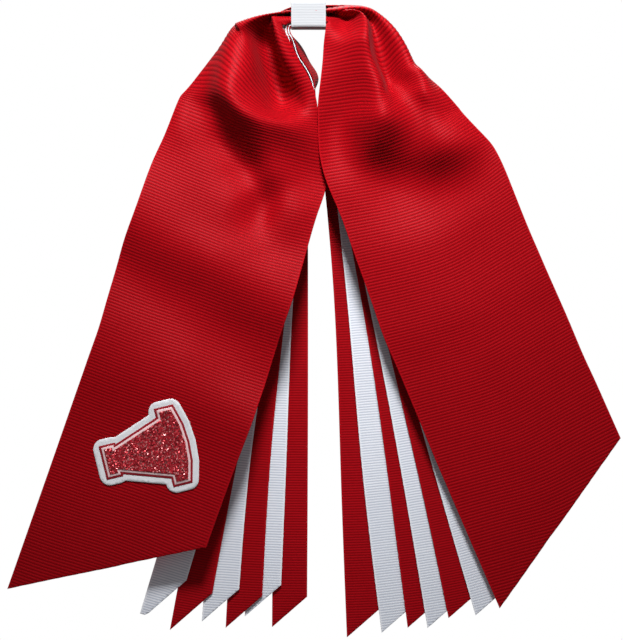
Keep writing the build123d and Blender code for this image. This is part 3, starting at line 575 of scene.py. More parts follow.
def waist_centre(side, k):
    """Centre (X, Z) at the top of a streamer's flat part, and its heading there."""
    start, after = INNER[side][k][:2]
    dx, dz = after[0] - start[0], after[1] - start[1]
    size = math.hypot(dx, dz)
    dx, dz = dx / size, dz / size
    reach = SIGN[side] * NARROW_W / 2
    return (start[0] - dz * reach, start[1] + dx * reach), (dx, dz)


def leg_station(side, k, z):
    """Centre (X, Y) of a leg at height z, and the direction of its inner edge."""
    sign = SIGN[side]
    turn = float(smooth((LEG_MID_Z - z) / (LEG_MID_Z - TURN_END_Z)))
    fan = 0.0
    if side == "left":                                   # spread only between two heights
        fan = float(smooth((-z - 8.0) / 7.0) * (1 - smooth((-z - 25.0) / 11.0)))
    angle = math.radians(90.0 * turn - FAN_ANGLE * fan)
    stack = (sign * math.cos(angle), -math.sin(angle))
    inward = (-sign * math.sin(angle), -math.cos(angle))
    x_top = sign * (BEND_X + BEND_R)
    x_mid = LEG_MID_X[side]
    x_low = waist_centre(side, 1)[0][0]
    if z > LEG_MID_Z:
        x = x_top + (x_mid - x_top) * (BEND_Z - z) / (BEND_Z - LEG_MID_Z)
    else:
        x = x_mid + (x_low - x_mid) * float(smooth((LEG_MID_Z - z) / (LEG_MID_Z - LEG_END)))
    y = LAYER_Y[side] * turn
    depth = (k - 1) * (ARCH_PITCH + (LEG_PITCH - ARCH_PITCH) * turn + FAN_PITCH * fan)
    shift = abs(waist_centre(side, k)[0][0] - x_low) * turn
    return (x + depth * stack[0] - shift * inward[0],
            y + depth * stack[1] - shift * inward[1]), inward


def streamer_path(side, k):
    """Centre line, directions to the inner or front edge, and index where the flat part starts."""
    sign = SIGN[side]
    radius = BEND_R + ARCH_PITCH * (k - 1)
    centre, inward = [], []
    for x in np.linspace(0, BEND_X, 5)[:-1]:
        centre.append((sign * x, 0, BEND_Z + radius))
        inward.append((0, -1, 0))
    for degrees in np.linspace(0, 90, 7)[:-1]:
        t = math.radians(degrees)
        centre.append((sign * (BEND_X + radius * math.sin(t)), 0, BEND_Z + radius * math.cos(t)))
        inward.append((0, -1, 0))
    for z in LEG_Z:
        (x, y), direction = leg_station(side, k, z)
        centre.append((x, y, z))
        inward.append((*direction, 0))
    flat_start = len(centre)
    points = np.array(INNER[side][k], float)
    run = lengths(points)
    edge = spline(run, points, np.linspace(0, run[-1], 26))
    tangent = unit(np.gradient(edge, axis=0))
    # straight on past the cut, for the longer edge
    edge = np.concatenate([edge, [edge[-1] + tangent[-1] * 10.0, edge[-1] + tangent[-1] * 20.0]])
    tangent = np.concatenate([tangent, [tangent[-1], tangent[-1]]])
    y = layer_y(side, k)
    for (x, z), (dx, dz) in zip(edge, tangent):
        out_x, out_z = -dz * sign, dx * sign
        centre.append((x + out_x * NARROW_W / 2, y, z + out_z * NARROW_W / 2))
        inward.append((-out_x, 0, -out_z))
    return np.array(centre, float), np.array(inward, float), flat_start


def streamer_surface(side, k):
    sign = SIGN[side]
    path, directions, flat_start = streamer_path(side, k)
    run = lengths(path)
    along = np.arange(0, run[-1], NARROW_RIB / SAMPLES_PER_RIB)
    centre = spline(run, path, along)
    inward = spline(run, directions, along)
    tangent = unit(np.gradient(centre, axis=0))
    inward -= tangent * np.sum(inward * tangent, axis=1, keepdims=True)
    inward = unit(inward)
    across = edge_columns(NARROW_W, count=16, fine=0.22)
    grid = centre[:, None, :] + inward[:, None, :] * (NARROW_W / 2 - across)[None, :, None]
    # each streamer keeps to its own layer: a slight cup across and a slow wave along
    below = smooth((along - run[flat_start]) / 40)
    from_middle = across - NARROW_W / 2
    arch = (1 - (from_middle / (NARROW_W / 2)) ** 2)[None, :]
    cup = arch * (0.10 + 0.06 * noise1(along, 50 + k, 40))[:, None]
    twist = noise1(along, 80 + k + sign, 15)[:, None] * (from_middle / NARROW_W)[None, :] * 2
    wave = (0.22 * noise1(along, 60 + 7 * k + sign, 26))[:, None] + 0.05 * twist
    grid[..., 1] -= (cup + wave) * below[:, None]
    return grid, across, along


def streamer(side, k):
    grid, across, along = streamer_surface(side, k)
    end = np.array(INNER[side][k][-1], float)
    angle = math.radians(CUT_ANGLE)
    ends = cut_lengths(grid, along, end, end + np.array([math.cos(angle), math.sin(angle)]))
    ends = ends + 0.05 * noise1(across, 90 + k + SIGN[side], 0.7)
    if side == "right":                                  # the same face on both sides
        grid, ends = grid[:, ::-1], ends[::-1]
    return ribbon_mesh(f"streamer_{side}_ribbon_{k}", grid, across, along, NARROW_T, NARROW_RIB,
                       rib_height=0.10, selvage=0.55, ends=ends)


streamers = {(side, k): streamer(side, k) for side in SIDES for k in LAYERS}


# ---------------------------------------------------------------- knot band
def band_path():
    """Loop (Y, Z) of the band's middle surface; its two ends lap at the back."""
    y0, y1 = BAND_Y[0] - BAND_T / 2, BAND_Y[1] + BAND_T / 2
    z0, z1 = BAND_Z[0] - BAND_T / 2, BAND_Z[1] + BAND_T / 2
    r = BAND_CORNER
    path = [
        (y1 + 1.5 * BAND_T, -3.0), (y1 + 1.4 * BAND_T, -1.0),
        (y1 + 1.0 * BAND_T, 2.2), (y1 + 0.15, 3.4),
    ]
    corners = [(y1 - r, z1 - r), (y0 + r, z1 - r), (y0 + r, z0 + r), (y1 - r, z0 + r)]
    for i, (y, z) in enumerate(corners):
        for degrees in np.linspace(90 * i, 90 * i + 90, 7):
            t = math.radians(degrees)
            path.append((y + r * math.cos(t), z + r * math.sin(t)))
    return np.array(path + [(y1, -2.0), (y1, 3.0)])


def knot_band():
    path = band_path()
    run = lengths(path)
    along = np.arange(0, run[-1], BAND_STEP)
    loop = np.stack([np.interp(along, run, path[:, i]) for i in (0, 1)], 1)
    for _ in range(6):                                   # ease the corners of the path
        loop[1:-1] = loop[1:-1] * 0.5 + (loop[2:] + loop[:-2]) * 0.25
    across = edge_columns(BAND_W, count=22, fine=0.22)
    grid = np.zeros((len(along), len(across), 3))
    grid[..., 0] = across - BAND_W / 2
    grid[..., 1:] = loop[:, None, :]
    # the front of the tied band pulls in a little at its middle and its edges flare
    from_middle = ((across - BAND_W / 2) / (BAND_W / 2))[None, :]
    radial = grid[..., 1:] - (BAND_CENTRE_Y, 0)
    radial /= np.linalg.norm(radial, axis=-1, keepdims=True)
    front = smooth((2.0 - grid[..., 1]) / 6.0)
    uneven = 0.05 * noise1(along, 5, 3.0)[:, None] * front
    flare = (0.30 * from_middle**2 - 0.12) * front + uneven
    grid[..., 1:] += radial * flare[..., None]
    return ribbon_mesh("knot_band_ribbon", grid, across, along, BAND_T, NARROW_RIB,
                       rib_height=0.03, selvage=0.5)


band = knot_band()

# ---------------------------------------------------------------- applique on the left tail
TAIL_POINTS = wide_middle["left"].reshape(-1, 3)
TAIL_NORMALS = grid_normals(wide_middle["left"]).reshape(-1, 3)


def outline_of(node):
    """Outline (X, Z) in mm of the front face of a flat CAD piece."""
    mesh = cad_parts[node].data
    points = np.array([v.co for v in mesh.vertices]) / MM
    front_y = points[:, 1].min()
    edges = {}
    for face in mesh.polygons:
        if all(abs(points[i, 1] - front_y) < 1e-3 for i in face.vertices):
            ring = [(round(points[i, 0], 3), round(points[i, 2], 3)) for i in face.vertices]
            for a, b in zip(ring, ring[1:] + ring[:1]):
                if (b, a) in edges:
                    del edges[(b, a)]
                else:
                    edges[(a, b)] = True
    following = dict(edges.keys())
    loop, current = [], next(iter(following))
    while current not in loop:
        loop.append(current)
        current = following[current]
    return np.array(loop)


def densify(loop, step):
    points = []
    for a, b in zip(loop, np.roll(loop, -1, 0)):
        count = max(1, int(math.ceil(np.linalg.norm(b - a) / step)))
        points += [a * (1 - t) + b * t for t in np.arange(count) / count]
    return np.array(points)


def soften(loop, rounds):
    for _ in range(rounds):
        loop = loop * 0.5 + (np.roll(loop, 1, 0) + np.roll(loop, -1, 0)) * 0.25
    return loop


def inside(points, loop):
    x, y = points[:, 0][:, None], points[:, 1][:, None]
    x0, y0 = loop[:, 0][None, :], loop[:, 1][None, :]
    x1, y1 = np.roll(loop[:, 0], -1)[None, :], np.roll(loop[:, 1], -1)[None, :]
    crossed = ((y0 > y) != (y1 > y)) & (x < (x1 - x0) * (y - y0) / (y1 - y0 + 1e-12) + x0)
    return crossed.sum(1) % 2 == 1


def distance(points, loop):
    best = np.full(len(points), 1e9)
    for a, b in zip(loop, np.roll(loop, -1, 0)):
        edge = b - a
        t = np.clip(((points - a) @ edge) / (edge @ edge + 1e-12), 0, 1)
        best = np.minimum(best, np.linalg.norm(points - (a + t[:, None] * edge), axis=1))
    return best


def tail_height(points):
    """Y of the left tail's middle surface at each (X, Z), from its six nearest grid points."""
    heights = np.zeros(len(points))
    for i, (x, z) in enumerate(points):
        squared = (TAIL_POINTS[:, 0] - x) ** 2 + (TAIL_POINTS[:, 2] - z) ** 2
        near = np.argsort(squared)[:6]
        at, normal = TAIL_POINTS[near], TAIL_NORMALS[near]
        slope = normal[:, 0] * (x - at[:, 0]) + normal[:, 2] * (z - at[:, 2])
        weight = 1 / (squared[near] + 0.05)
        heights[i] = ((at[:, 1] - slope / normal[:, 1]) * weight).sum() / weight.sum()
    return heights


def raise_points(points, y):
    return np.stack([points[:, 0], y, points[:, 1]], 1)


def patch_layer(name, node, base, thick, spacing, seed, rough=0.0, rounds=0):
    """A closed layer cut to the node's outline and laid on the tail.

    base is its underside above the ribbon's middle; rough is the bumpiness of its top.
    """
    loop = soften(densify(outline_of(node), 0.45), rounds)
    x, z = loop.T
    if np.sum(x * np.roll(z, -1) - np.roll(x, -1) * z) < 0:
        loop = loop[::-1]
    tangent = unit(np.roll(loop, -1, 0) - np.roll(loop, 1, 0))
    step_in = min(0.16, thick * 0.5)
    ring = loop + np.stack([-tangent[:, 1], tangent[:, 0]], 1) * step_in

    # fill the top with a jittered grid
    lo, hi = loop.min(0), loop.max(0)
    axes = [np.arange(lo[i], hi[i], spacing) for i in (0, 1)]
    grid = np.stack([axis.ravel() for axis in np.meshgrid(*axes)], 1)
    rng = np.random.default_rng(seed)
    grid = grid + rng.uniform(-0.3, 0.3, grid.shape) * spacing
    grid = grid[inside(grid, loop)]
    grid = grid[distance(grid, loop) > step_in + spacing * 0.45]
    count = len(ring)
    border = [(i, (i + 1) % count) for i in range(count)]
    points = [Vector(q) for q in ring] + [Vector(q) for q in grid]
    filled = delaunay_2d_cdt(points, border, [], 1, 1e-6)
    top = np.array([tuple(q) for q in filled[0]])
    bump = np.zeros(len(top))
    if rough:
        rise = np.clip((distance(top, loop) - step_in) / 0.5, 0, 1)
        bump = rng.uniform(-1, 1, len(top)) * rough * rise
    top_y, loop_y = tail_height(top), tail_height(loop)
    verts = np.concatenate([
        raise_points(top, top_y - base - thick - bump),
        raise_points(loop, loop_y - base - thick * 0.55),
        raise_points(loop, loop_y - base),
        raise_points(top, top_y - base),
    ])
    upper = len(top)                                     # first vertex of each set
    lower = upper + count
    under = lower + count

    # match each ring vertex to its place in the filled top
    where = {}
    for i, q in enumerate(top):
        where.setdefault((round(q[0], 4), round(q[1], 4)), i)
    rim = []
    for q in ring:
        nearest = int(np.argmin(((top - q) ** 2).sum(1)))
        rim.append(where.get((round(q[0], 4), round(q[1], 4)), nearest))

    top_faces = []
    for corners in filled[2]:
        face = list(corners)
        a, b, c = (top[i] for i in face)
        if (b[0] - a[0]) * (c[1] - a[1]) - (b[1] - a[1]) * (c[0] - a[0]) < 0:
            face = face[::-1]
        top_faces.append(face)                           # counter-clockwise in (X, Z) faces -Y
    faces = list(top_faces)
    for i, j in border:
        if rim[i] != rim[j]:
            faces.append([rim[i], upper + i, upper + j, rim[j]])
        faces.append([upper + i, lower + i, lower + j, upper + j])
    faces += [[under + i for i in reversed(face)] for face in top_faces]
    for i, j in border:
        if rim[i] != rim[j]:
            faces.append([lower + i, under + rim[i], under + rim[j], lower + j])
    return new_object(name, verts, faces, verts[:, [0, 2]] / UV_MM)


TOP = WIDE_T / 2                                         # rib crests above the middle surface
patch = {
    "patch_backing": patch_layer("patch_backing_felt", "patch_backing", base=TOP - 0.02,
                                 thick=0.50, spacing=1.0, seed=1, rounds=1),
    "patch_rim": patch_layer("patch_rim_film", "patch_rim", base=TOP + 0.49,
                             thick=0.14, spacing=1.1, seed=2),
    "patch_inline": patch_layer("patch_inline_film", "patch_inline", base=TOP + 0.64,
                                thick=0.14, spacing=1.1, seed=3),
    "patch_glitter": patch_layer("patch_glitter_film", "patch_glitter", base=TOP + 0.79,
                                 thick=0.30, spacing=0.42, seed=4, rough=0.07),
}


# ---------------------------------------------------------------- materials
class Graph:
    """Small helper for building node materials. Colours are (red, green, blue)."""

    SOCKETS = {"specular": "Specular IOR Level", "ior": "IOR"}

    def __init__(self, name):
        self.material = bpy.data.materials.new(name)
        self.material.use_nodes = True
        self.tree = self.material.node_tree
        self.bsdf = next(n for n in self.tree.nodes if n.type == "BSDF_PRINCIPLED")

    def node(self, kind, **props):
        node = self.tree.nodes.new(kind)
        for key, value in props.items():
            setattr(node, key, value)
        return node

    def put(self, socket, value):
        if hasattr(value, "is_output"):
            self.tree.links.new(value, socket)
        elif socket.type == "RGBA":
            socket.default_value = (*value, 1)
        else:
            socket.default_value = value

    def math(self, operation, a, b=0.0):
        node = self.node("ShaderNodeMath", operation=operation)
        self.put(node.inputs[0], a)
        self.put(node.inputs[1], b)
        return node.outputs[0]

    def times(self, a, b):
        return self.math("MULTIPLY", a, b)

    def times_plus(self, a, b, c):
        product = self.math("MULTIPLY_ADD", a, b)
        self.put(product.node.inputs[2], c)
        return product

    def mix(self, factor, a, b):
        node = self.node("ShaderNodeMix", data_type="RGBA")
        for i, value in ((0, factor), (6, a), (7, b)):
            self.put(node.inputs[i], value)
        return node.outputs[2]

    def split(self, vector):
        node = self.node("ShaderNodeSeparateXYZ")
        self.put(node.inputs[0], vector)
        return node.outputs

    def uv_mm(self):
        uv = self.split(self.node("ShaderNodeUVMap", uv_map="UVMap").outputs[0])
        return self.times(uv[0], UV_MM), self.times(uv[1], UV_MM)

    def coords(self):
        return self.node("ShaderNodeTexCoord").outputs["Object"]

    def noise(self, scale, detail, rough, vector=None):
        node = self.node("ShaderNodeTexNoise")
        self.put(node.inputs["Vector"], vector or self.coords())
        node.inputs["Scale"].default_value = scale
        node.inputs["Detail"].default_value = detail
        node.inputs["Roughness"].default_value = rough
        return node.outputs["Fac"]

    def vector(self, x, y, z=0.0):
        node = self.node("ShaderNodeCombineXYZ")
        for socket, value in zip(node.inputs, (x, y, z)):
            self.put(socket, value)
        return node.outputs[0]

    def ramp(self, value, low, high):
        """0 at low, 1 at high."""
        node = self.node("ShaderNodeMapRange", clamp=True)
        for socket, number in zip(node.inputs, (value, low, high, 0.0, 1.0)):
            self.put(socket, number)
        return node.outputs[0]

    def bump(self, height, distance, strength):
        node = self.node("ShaderNodeBump")
        node.inputs["Strength"].default_value = strength
        node.inputs["Distance"].default_value = distance
        self.put(node.inputs["Height"], height)
        return node.outputs[0]

    def finish(self, **values):
        """Sets the shader's sockets, named in lower case with underscores."""
        for key, value in values.items():
            socket = self.SOCKETS.get(key, key.replace("_", " ").title())
            self.put(self.bsdf.inputs[socket], value)
        return self.material


def grosgrain(name, light, dark, groove_shade, pitch, width, sheen, sheen_tint, rough):
    """Ribbed ribbon: filling ribs under fine lengthwise threads, painted shade in the grooves,
    firm selvage.
    """
    g = Graph(name)
    across, along = g.uv_mm()
    # rib crest 1, groove 0
    cosine = g.math("ABSOLUTE", g.math("COSINE", g.times(along, math.pi / pitch)))
    crest = g.math("SUBTRACT", 1.0, g.math("POWER", cosine, 4.0))
    # lengthwise threads, 0.27 mm apart, wander slightly
    wander = g.noise(scale=60.0, detail=2.0, rough=0.5,
                     vector=g.vector(g.times(across, 0.02), g.times(along, 0.004)))
    phase = g.math("ADD", g.times(across, 2 * math.pi / 0.27), g.times(wander, 4.0))
    thread = g.times_plus(g.math("SINE", phase), 0.5, 0.5)
    # each rib takes the dye and the light a little differently
    rib_number = g.math("FLOOR", g.math("DIVIDE", along, pitch))
    per_rib = g.noise(scale=3.1, detail=1.0, rough=0.5,
                      vector=g.vector(g.times(rib_number, 7.13), g.times(across, 0.02)))
    cloud = g.noise(scale=26.0, detail=4.0, rough=0.6)
    fuzz = g.noise(scale=5200.0, detail=2.0, rough=0.7)
    # weights of cloud, rib, fuzz and thread in the tone
    tone = g.times_plus(cloud, 0.55, g.times_plus(per_rib, 0.35, g.times(fuzz, 0.25)))
    tone = g.times_plus(thread, 0.10, tone)
    body = g.mix(g.ramp(tone, low=0.30, high=0.92), dark, light)
    edge = g.math("MINIMUM", across, g.math("SUBTRACT", width, across))
    selvage = g.ramp(edge, low=0.95, high=0.45)
    body = g.mix(g.times(selvage, 0.45), body, light)
    # painted shade darkens the grooves, but hardly in the selvage
    shade = g.times(g.math("SUBTRACT", 1.0, crest),
                    g.math("SUBTRACT", 1.0, g.times(selvage, 0.8)))
    color = g.mix(g.times(shade, 0.80), body, groove_shade)
    height = g.math("ADD", g.times(thread, 0.6), g.times(fuzz, 0.8))
    return g.finish(
        base_color=color, roughness=g.times_plus(fuzz, 0.18, rough - 0.14),
        specular=0.20, specular_tint=sheen_tint,
        sheen_weight=sheen, sheen_roughness=0.4, sheen_tint=sheen_tint,
        normal=g.bump(height, distance=0.00003, strength=0.6),
    )


def film(name, base, other):
    """Smooth film, mottled between two colours."""
    g = Graph(name)
    fine = g.noise(scale=900.0, detail=4.0, rough=0.6)
    broad = g.noise(scale=60.0, detail=2.0, rough=0.5)
    mottle = g.ramp(g.times_plus(fine, 0.7, g.times(broad, 0.3)), low=0.3, high=0.7)
    return g.finish(base_color=g.mix(mottle, base, other), roughness=0.42, specular=0.4,
                    normal=g.bump(fine, distance=0.00004, strength=0.5))


def felt(name):
    """White flock under the film layers: short fibres over a fine twill, 0.55 mm apart."""
    g = Graph(name)
    across, along = g.uv_mm()
    twill = g.math("SINE", g.times(g.math("ADD", across, along), 2 * math.pi / 0.55))
    fibre = g.noise(scale=4200.0, detail=5.0, rough=0.75)
    broad = g.noise(scale=120.0, detail=3.0, rough=0.5)
    tone = g.ramp(g.times_plus(fibre, 0.7, g.times(broad, 0.3)), low=0.3, high=0.75)
    color = g.mix(tone, (0.66, 0.68, 0.73), (0.93, 0.93, 0.95))
    height = g.math("ADD", g.times(twill, 0.12), fibre)
    return g.finish(base_color=color, roughness=0.85, specular=0.2,
                    sheen_weight=0.3, sheen_roughness=0.5,
                    normal=g.bump(height, distance=0.00010, strength=0.7))


def glitter(name):
    """Packed flakes, each with its own tilt and brightness, in a clear red film."""
    g = Graph(name)
    cells = g.node("ShaderNodeTexVoronoi")
    cells.inputs["Scale"].default_value = 2300.0
    g.put(cells.inputs["Vector"], g.coords())
    channels = g.node("ShaderNodeSeparateColor")
    g.put(channels.inputs[0], cells.outputs["Color"])
    red, green, blue = channels.outputs
    # most flakes are deep red; a few carry a painted glint and a few a painted shade
    deep = g.mix(red, (0.28, 0.004, 0.010), (0.62, 0.018, 0.035))
    painted_glint = g.ramp(green, low=0.84, high=0.93)
    color = g.mix(g.times(painted_glint, 0.75), deep, (0.95, 0.45, 0.45))
    painted_flake_shade = g.ramp(blue, low=0.90, high=0.97)
    color = g.mix(g.times(painted_flake_shade, 0.7), color, (0.09, 0.001, 0.004))
    # random tilt, -0.55 to 0.55 on each axis
    tilt = g.node("ShaderNodeVectorMath", operation="MULTIPLY_ADD")
    g.put(tilt.inputs[0], cells.outputs["Color"])
    tilt.inputs[1].default_value = (1.1, 1.1, 1.1)
    tilt.inputs[2].default_value = (-0.55, -0.55, -0.55)
    geometry = g.node("ShaderNodeNewGeometry")
    tilted = g.node("ShaderNodeVectorMath", operation="ADD")
    g.put(tilted.inputs[0], geometry.outputs["Normal"])
    g.put(tilted.inputs[1], tilt.outputs[0])
    normal = g.node("ShaderNodeVectorMath", operation="NORMALIZE")
    g.put(normal.inputs[0], tilted.outputs[0])
    return g.finish(base_color=color, roughness=0.34, metallic=0.35, specular=0.5,
                    normal=normal.outputs[0], coat_weight=0.15, coat_roughness=0.2)


def nickel(name, tint):
    """Nickel-plated spring steel: grain along X, hazed, spotted, with a painted highlight on its
    sharp edges.
    """
    g = Graph(name)
    x, y, z = g.split(g.coords())
    stretched = g.vector(g.times(x, 90.0), g.times(y, 2600.0), g.times(z, 2600.0))
    grain = g.noise(scale=1.0, detail=4.0, rough=0.65, vector=stretched)
    haze = g.noise(scale=140.0, detail=4.0, rough=0.6)
    spots = g.ramp(g.noise(scale=700.0, detail=2.0, rough=0.5), low=0.66, high=0.74)
    geometry = g.node("ShaderNodeNewGeometry")
    # painted highlight: sharp edges are made lighter, as if they caught the light
    painted_edge_highlight = g.ramp(geometry.outputs["Pointiness"], low=0.50, high=0.60)
    hazed = tuple(value * dim for value, dim in zip(tint, (0.82, 0.80, 0.76)))
    color = g.mix(g.ramp(haze, low=0.35, high=0.7), hazed, tint)
    color = g.mix(g.times(spots, 0.35), color, (0.26, 0.24, 0.21))
    color = g.mix(g.times(painted_edge_highlight, 0.4), color, (0.80, 0.79, 0.77))
    rough = g.times_plus(haze, 0.16, g.times_plus(grain, 0.12, 0.16))
    return g.finish(base_color=color, metallic=1.0, roughness=rough,
                    normal=g.bump(grain, distance=0.00002, strength=0.35))


def hot_glue(name):
    """Lumpy, cloudy, slightly yellow glue."""
    g = Graph(name)
    lumps = g.noise(scale=260.0, detail=3.0, rough=0.5)
    fine = g.noise(scale=1500.0, detail=2.0, rough=0.5)
    color = g.mix(g.ramp(lumps, low=0.3, high=0.7), (0.80, 0.74, 0.58), (0.90, 0.87, 0.78))
    return g.finish(base_color=color, roughness=g.times_plus(fine, 0.15, 0.22),
                    transmission_weight=0.25, ior=1.48,
                    subsurface_weight=0.3, subsurface_scale=0.002,
                    normal=g.bump(lumps, distance=0.0006, strength=0.6))


def sewing_thread(name):
    """Pale thread with diagonal twist bands."""
    g = Graph(name)
    wave = g.node("ShaderNodeTexWave", wave_type="BANDS", bands_direction="DIAGONAL")
    g.put(wave.inputs["Vector"], g.coords())
    wave.inputs["Scale"].default_value = 900.0
    wave.inputs["Distortion"].default_value = 0.6
    twist = wave.outputs["Fac"]
    fuzz = g.noise(scale=6000.0, detail=3.0, rough=0.7)
    color = g.mix(g.times_plus(twist, 0.7, g.times(fuzz, 0.3)),
                  (0.52, 0.52, 0.53), (0.86, 0.86, 0.85))
    return g.finish(base_color=color, roughness=0.6, sheen_weight=0.3, specular=0.3,
                    normal=g.bump(twist, distance=0.00008, strength=0.8))


# the groove colour of each ribbon is painted shade for the recess between ribs
RED = dict(light=(0.40, 0.0025, 0.007), dark=(0.32, 0.0012, 0.004),
           groove_shade=(0.13, 0.0004, 0.002), sheen=0.05, sheen_tint=(1.0, 0.26, 0.30))
WHITE = dict(light=(0.86, 0.88, 0.93), dark=(0.74, 0.77, 0.85),
             groove_shade=(0.44, 0.49, 0.60), sheen=0.15, sheen_tint=(1.0, 1.0, 1.0))
# painted shade: the knot band's white is a darker copy of the streamers' white, against the
# stronger light at the top
BAND_WHITE_PAINTED_SHADE = dict(WHITE, light=(0.46, 0.475, 0.495), dark=(0.43, 0.445, 0.468),
                  groove_shade=(0.375, 0.39, 0.415))
NARROW = dict(pitch=NARROW_RIB, width=NARROW_W)
red_wide = grosgrain("red_grosgrain_wide", pitch=WIDE_RIB, width=WIDE_W, rough=0.56, **RED)
red_narrow = grosgrain("red_grosgrain_narrow", rough=0.58, **NARROW, **RED)
white_narrow = grosgrain("white_grosgrain_narrow", rough=0.6, **NARROW, **WHITE)
white_band_painted_shade = grosgrain("white_grosgrain_band_painted_shade", pitch=NARROW_RIB, width=BAND_W, rough=0.6,
                       **BAND_WHITE_PAINTED_SHADE)


def dress(ob, material):
    ob.data.materials.append(material)


for side in SIDES:
    dress(wide[side], red_wide)
    for k in LAYERS:
        if k % 2:
            dress(streamers[side, k], red_narrow)
        else:
            dress(streamers[side, k], white_narrow)
dress(band, white_band_painted_shade)
dress(patch["patch_backing"], felt("patch_felt_white"))
dress(patch["patch_rim"],
      film("patch_film_dark_red", base=(0.26, 0.004, 0.012), other=(0.36, 0.008, 0.02)))
dress(patch["patch_inline"],
      film("patch_film_pale", base=(0.80, 0.52, 0.54), other=(0.88, 0.66, 0.67)))
dress(patch["patch_glitter"], glitter("patch_glitter_red"))

# the CAD pieces that are kept as they are
metal = nickel("nickel_plated_steel", tint=(0.60, 0.59, 0.57))
spring_metal = nickel("spring_steel", tint=(0.52, 0.51, 0.50))
finishes = {
    "barrette_base": (metal, "nickel_steel"),
    "barrette_arm": (metal, "nickel_steel"),
    "tension_spring": (spring_metal, "nickel_steel"),
    "hinge_pin": (metal, "nickel_steel"),
    "latch_prong_upper": (spring_metal, "nickel_steel"),
    "latch_prong_lower": (spring_metal, "nickel_steel"),
    "glue_pad": (hot_glue("hot_glue_clear"), "hot_glue"),
    "gather_thread": (sewing_thread("polyester_thread"), "thread"),
}
for node, (material, slot) in finishes.items():
    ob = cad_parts[node]
    if not ob.material_slots:
        ob.data.materials.append(material)
    for material_slot in ob.material_slots:
        material_slot.material = material


# ---------------------------------------------------------------- bodies
def blend_from_root(ob):
    """Bakes the ribbon's placement into its mesh."""
    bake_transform(ob)


for side in SIDES:
    (ax, az), (bx, bz) = SWING[side]
    down = SIGN[side] * np.array([bz - az, 0, ax - bx])  # square to the swing line
    down = down / np.linalg.norm(down)
    blend_from_root(wide[side])
    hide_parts("wide_ribbon_center", f"wide_tail_{side}")
    for k in LAYERS:
        ob, body = streamers[side, k], f"streamer_{side}_{k}"
        blend_from_root(ob)
        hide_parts(f"streamer_arch_{k}", body)
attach(band, "root")
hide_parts("knot_band")
for node, ob in patch.items():
    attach(ob, "wide_tail_left")
    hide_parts(node)

# ---------------------------------------------------------------- camera, metres
CAMERA_DISTANCE = 2.6
FRONT_Y = -0.009                                         # front of the bow
VIEW_SIZE = 0.2771                                       # view across the sensor at that front
cam_data = bpy.data.cameras.new("camera")
cam = bpy.data.objects.new("camera", cam_data)
bpy.context.scene.collection.objects.link(cam)
cam_data.sensor_width = 36.0
cam_data.lens = 36.0 * CAMERA_DISTANCE / VIEW_SIZE
cam_data.clip_start, cam_data.clip_end = 0.1, 50.0
cam.location = (0.0013, FRONT_Y - CAMERA_DISTANCE, -0.1327)
cam.rotation_euler = (math.radians(90), 0, 0)
bpy.context.scene.camera = cam

# ---------------------------------------------------------------- studio, metres
AMBIENT = 0.16                                           # surround as the object sees it
FLOOR_Z, FLOOR_RADIUS = -0.345, 9.0
FLOOR_GREY, FLOOR_LIFT = 0.34, 0.66                      # diffuse, and glow seen by the camera
FLOOR_FADE = 0.16, 0.60                                  # radii where it melts away
AIM = (0, 0, -0.12)


def ambient_strength(tree, socket):
    """Drives a strength: full to the camera, AMBIENT to all else. Returns the light path."""
    path = tree.nodes.new("ShaderNodeLightPath")
    strength = tree.nodes.new("ShaderNodeMapRange")
    strength.inputs[3].default_value, strength.inputs[4].default_value = AMBIENT, 1.0
    tree.links.new(path.outputs["Is Camera Ray"], strength.inputs[0])
    tree.links.new(strength.outputs[0], socket)
    return path


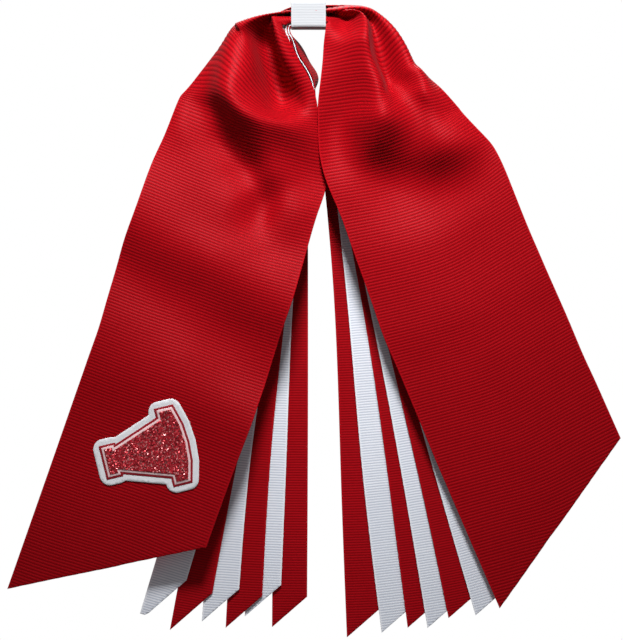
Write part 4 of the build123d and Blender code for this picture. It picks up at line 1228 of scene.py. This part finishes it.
def floor_material():
    """Pale matte floor that melts into the pale surround away from the object."""
    material = bpy.data.materials.new("floor_pale")
    material.use_nodes = True
    tree = material.node_tree
    new, link = tree.nodes.new, tree.links.new
    tree.nodes.clear()
    out = new("ShaderNodeOutputMaterial")
    diffuse = new("ShaderNodeBsdfDiffuse")
    diffuse.inputs[0].default_value = (FLOOR_GREY, FLOOR_GREY, FLOOR_GREY, 1)
    lift = new("ShaderNodeEmission")
    near = new("ShaderNodeAddShader")
    glow = new("ShaderNodeEmission")
    path = ambient_strength(tree, glow.inputs[1])
    seen = new("ShaderNodeMath")
    seen.operation = "MULTIPLY"
    seen.inputs[1].default_value = FLOOR_LIFT
    link(path.outputs["Is Camera Ray"], seen.inputs[0])
    link(seen.outputs[0], lift.inputs[1])
    link(diffuse.outputs[0], near.inputs[0])
    link(lift.outputs[0], near.inputs[1])
    coord = new("ShaderNodeTexCoord")
    radius = new("ShaderNodeVectorMath")
    radius.operation = "LENGTH"
    link(coord.outputs["Object"], radius.inputs[0])
    far = new("ShaderNodeMapRange")
    far.interpolation_type = "SMOOTHSTEP"
    far.inputs[1].default_value, far.inputs[2].default_value = FLOOR_FADE
    link(radius.outputs["Value"], far.inputs[0])
    mixer = new("ShaderNodeMixShader")
    link(far.outputs[0], mixer.inputs[0])
    link(near.outputs[0], mixer.inputs[1])
    link(glow.outputs[0], mixer.inputs[2])
    link(mixer.outputs[0], out.inputs[0])
    return material


def add_floor():
    bm = bmesh.new()
    bmesh.ops.create_circle(bm, cap_ends=True, segments=96, radius=FLOOR_RADIUS)
    mesh = bpy.data.meshes.new("floor")
    bm.to_mesh(mesh)
    bm.free()
    floor = bpy.data.objects.new("floor", mesh)
    floor.location = (0.0, 0.0, FLOOR_Z)
    bpy.context.scene.collection.objects.link(floor)
    mesh.materials.append(floor_material())


def light_world():
    world = bpy.context.scene.world or bpy.data.worlds.new("world")
    bpy.context.scene.world = world
    world.use_nodes = True
    tree = world.node_tree
    background = next(n for n in tree.nodes if n.type == "BACKGROUND")
    background.inputs[0].default_value = (1, 1, 1, 1)
    ambient_strength(tree, background.inputs[1])


def place_light(light, at, direction):
    ob = bpy.data.objects.new(light.name, light)
    ob.location = at
    ob.rotation_mode = "QUATERNION"
    ob.rotation_quaternion = direction.to_track_quat("-Z", "Y")
    bpy.context.scene.collection.objects.link(ob)


def softbox(name, at, size, power):
    light = bpy.data.lights.new(name, "AREA")
    light.shape = "RECTANGLE"
    light.size, light.size_y = size
    light.energy = power
    place_light(light, at, Vector(AIM) - Vector(at))


def key_light():
    light = bpy.data.lights.new("key", "SPOT")
    light.energy = 40.0
    light.spot_size, light.spot_blend = math.radians(48), 1.0
    light.shadow_soft_size = 0.085
    place_light(light, at=(0.015, -0.46, 0.44), direction=Vector((0.0, 0.743, -0.669)))


add_floor()
light_world()
key_light()
softbox("fill", at=(1.2, -1.3, 0.1), size=(0.9, 0.9), power=0.8)
softbox("back", at=(0.0, 1.25, 1.25), size=(1.0, 0.5), power=24.0)

view_settings = bpy.context.scene.view_settings
view_settings.view_transform = "Standard"
view_settings.look = "None"
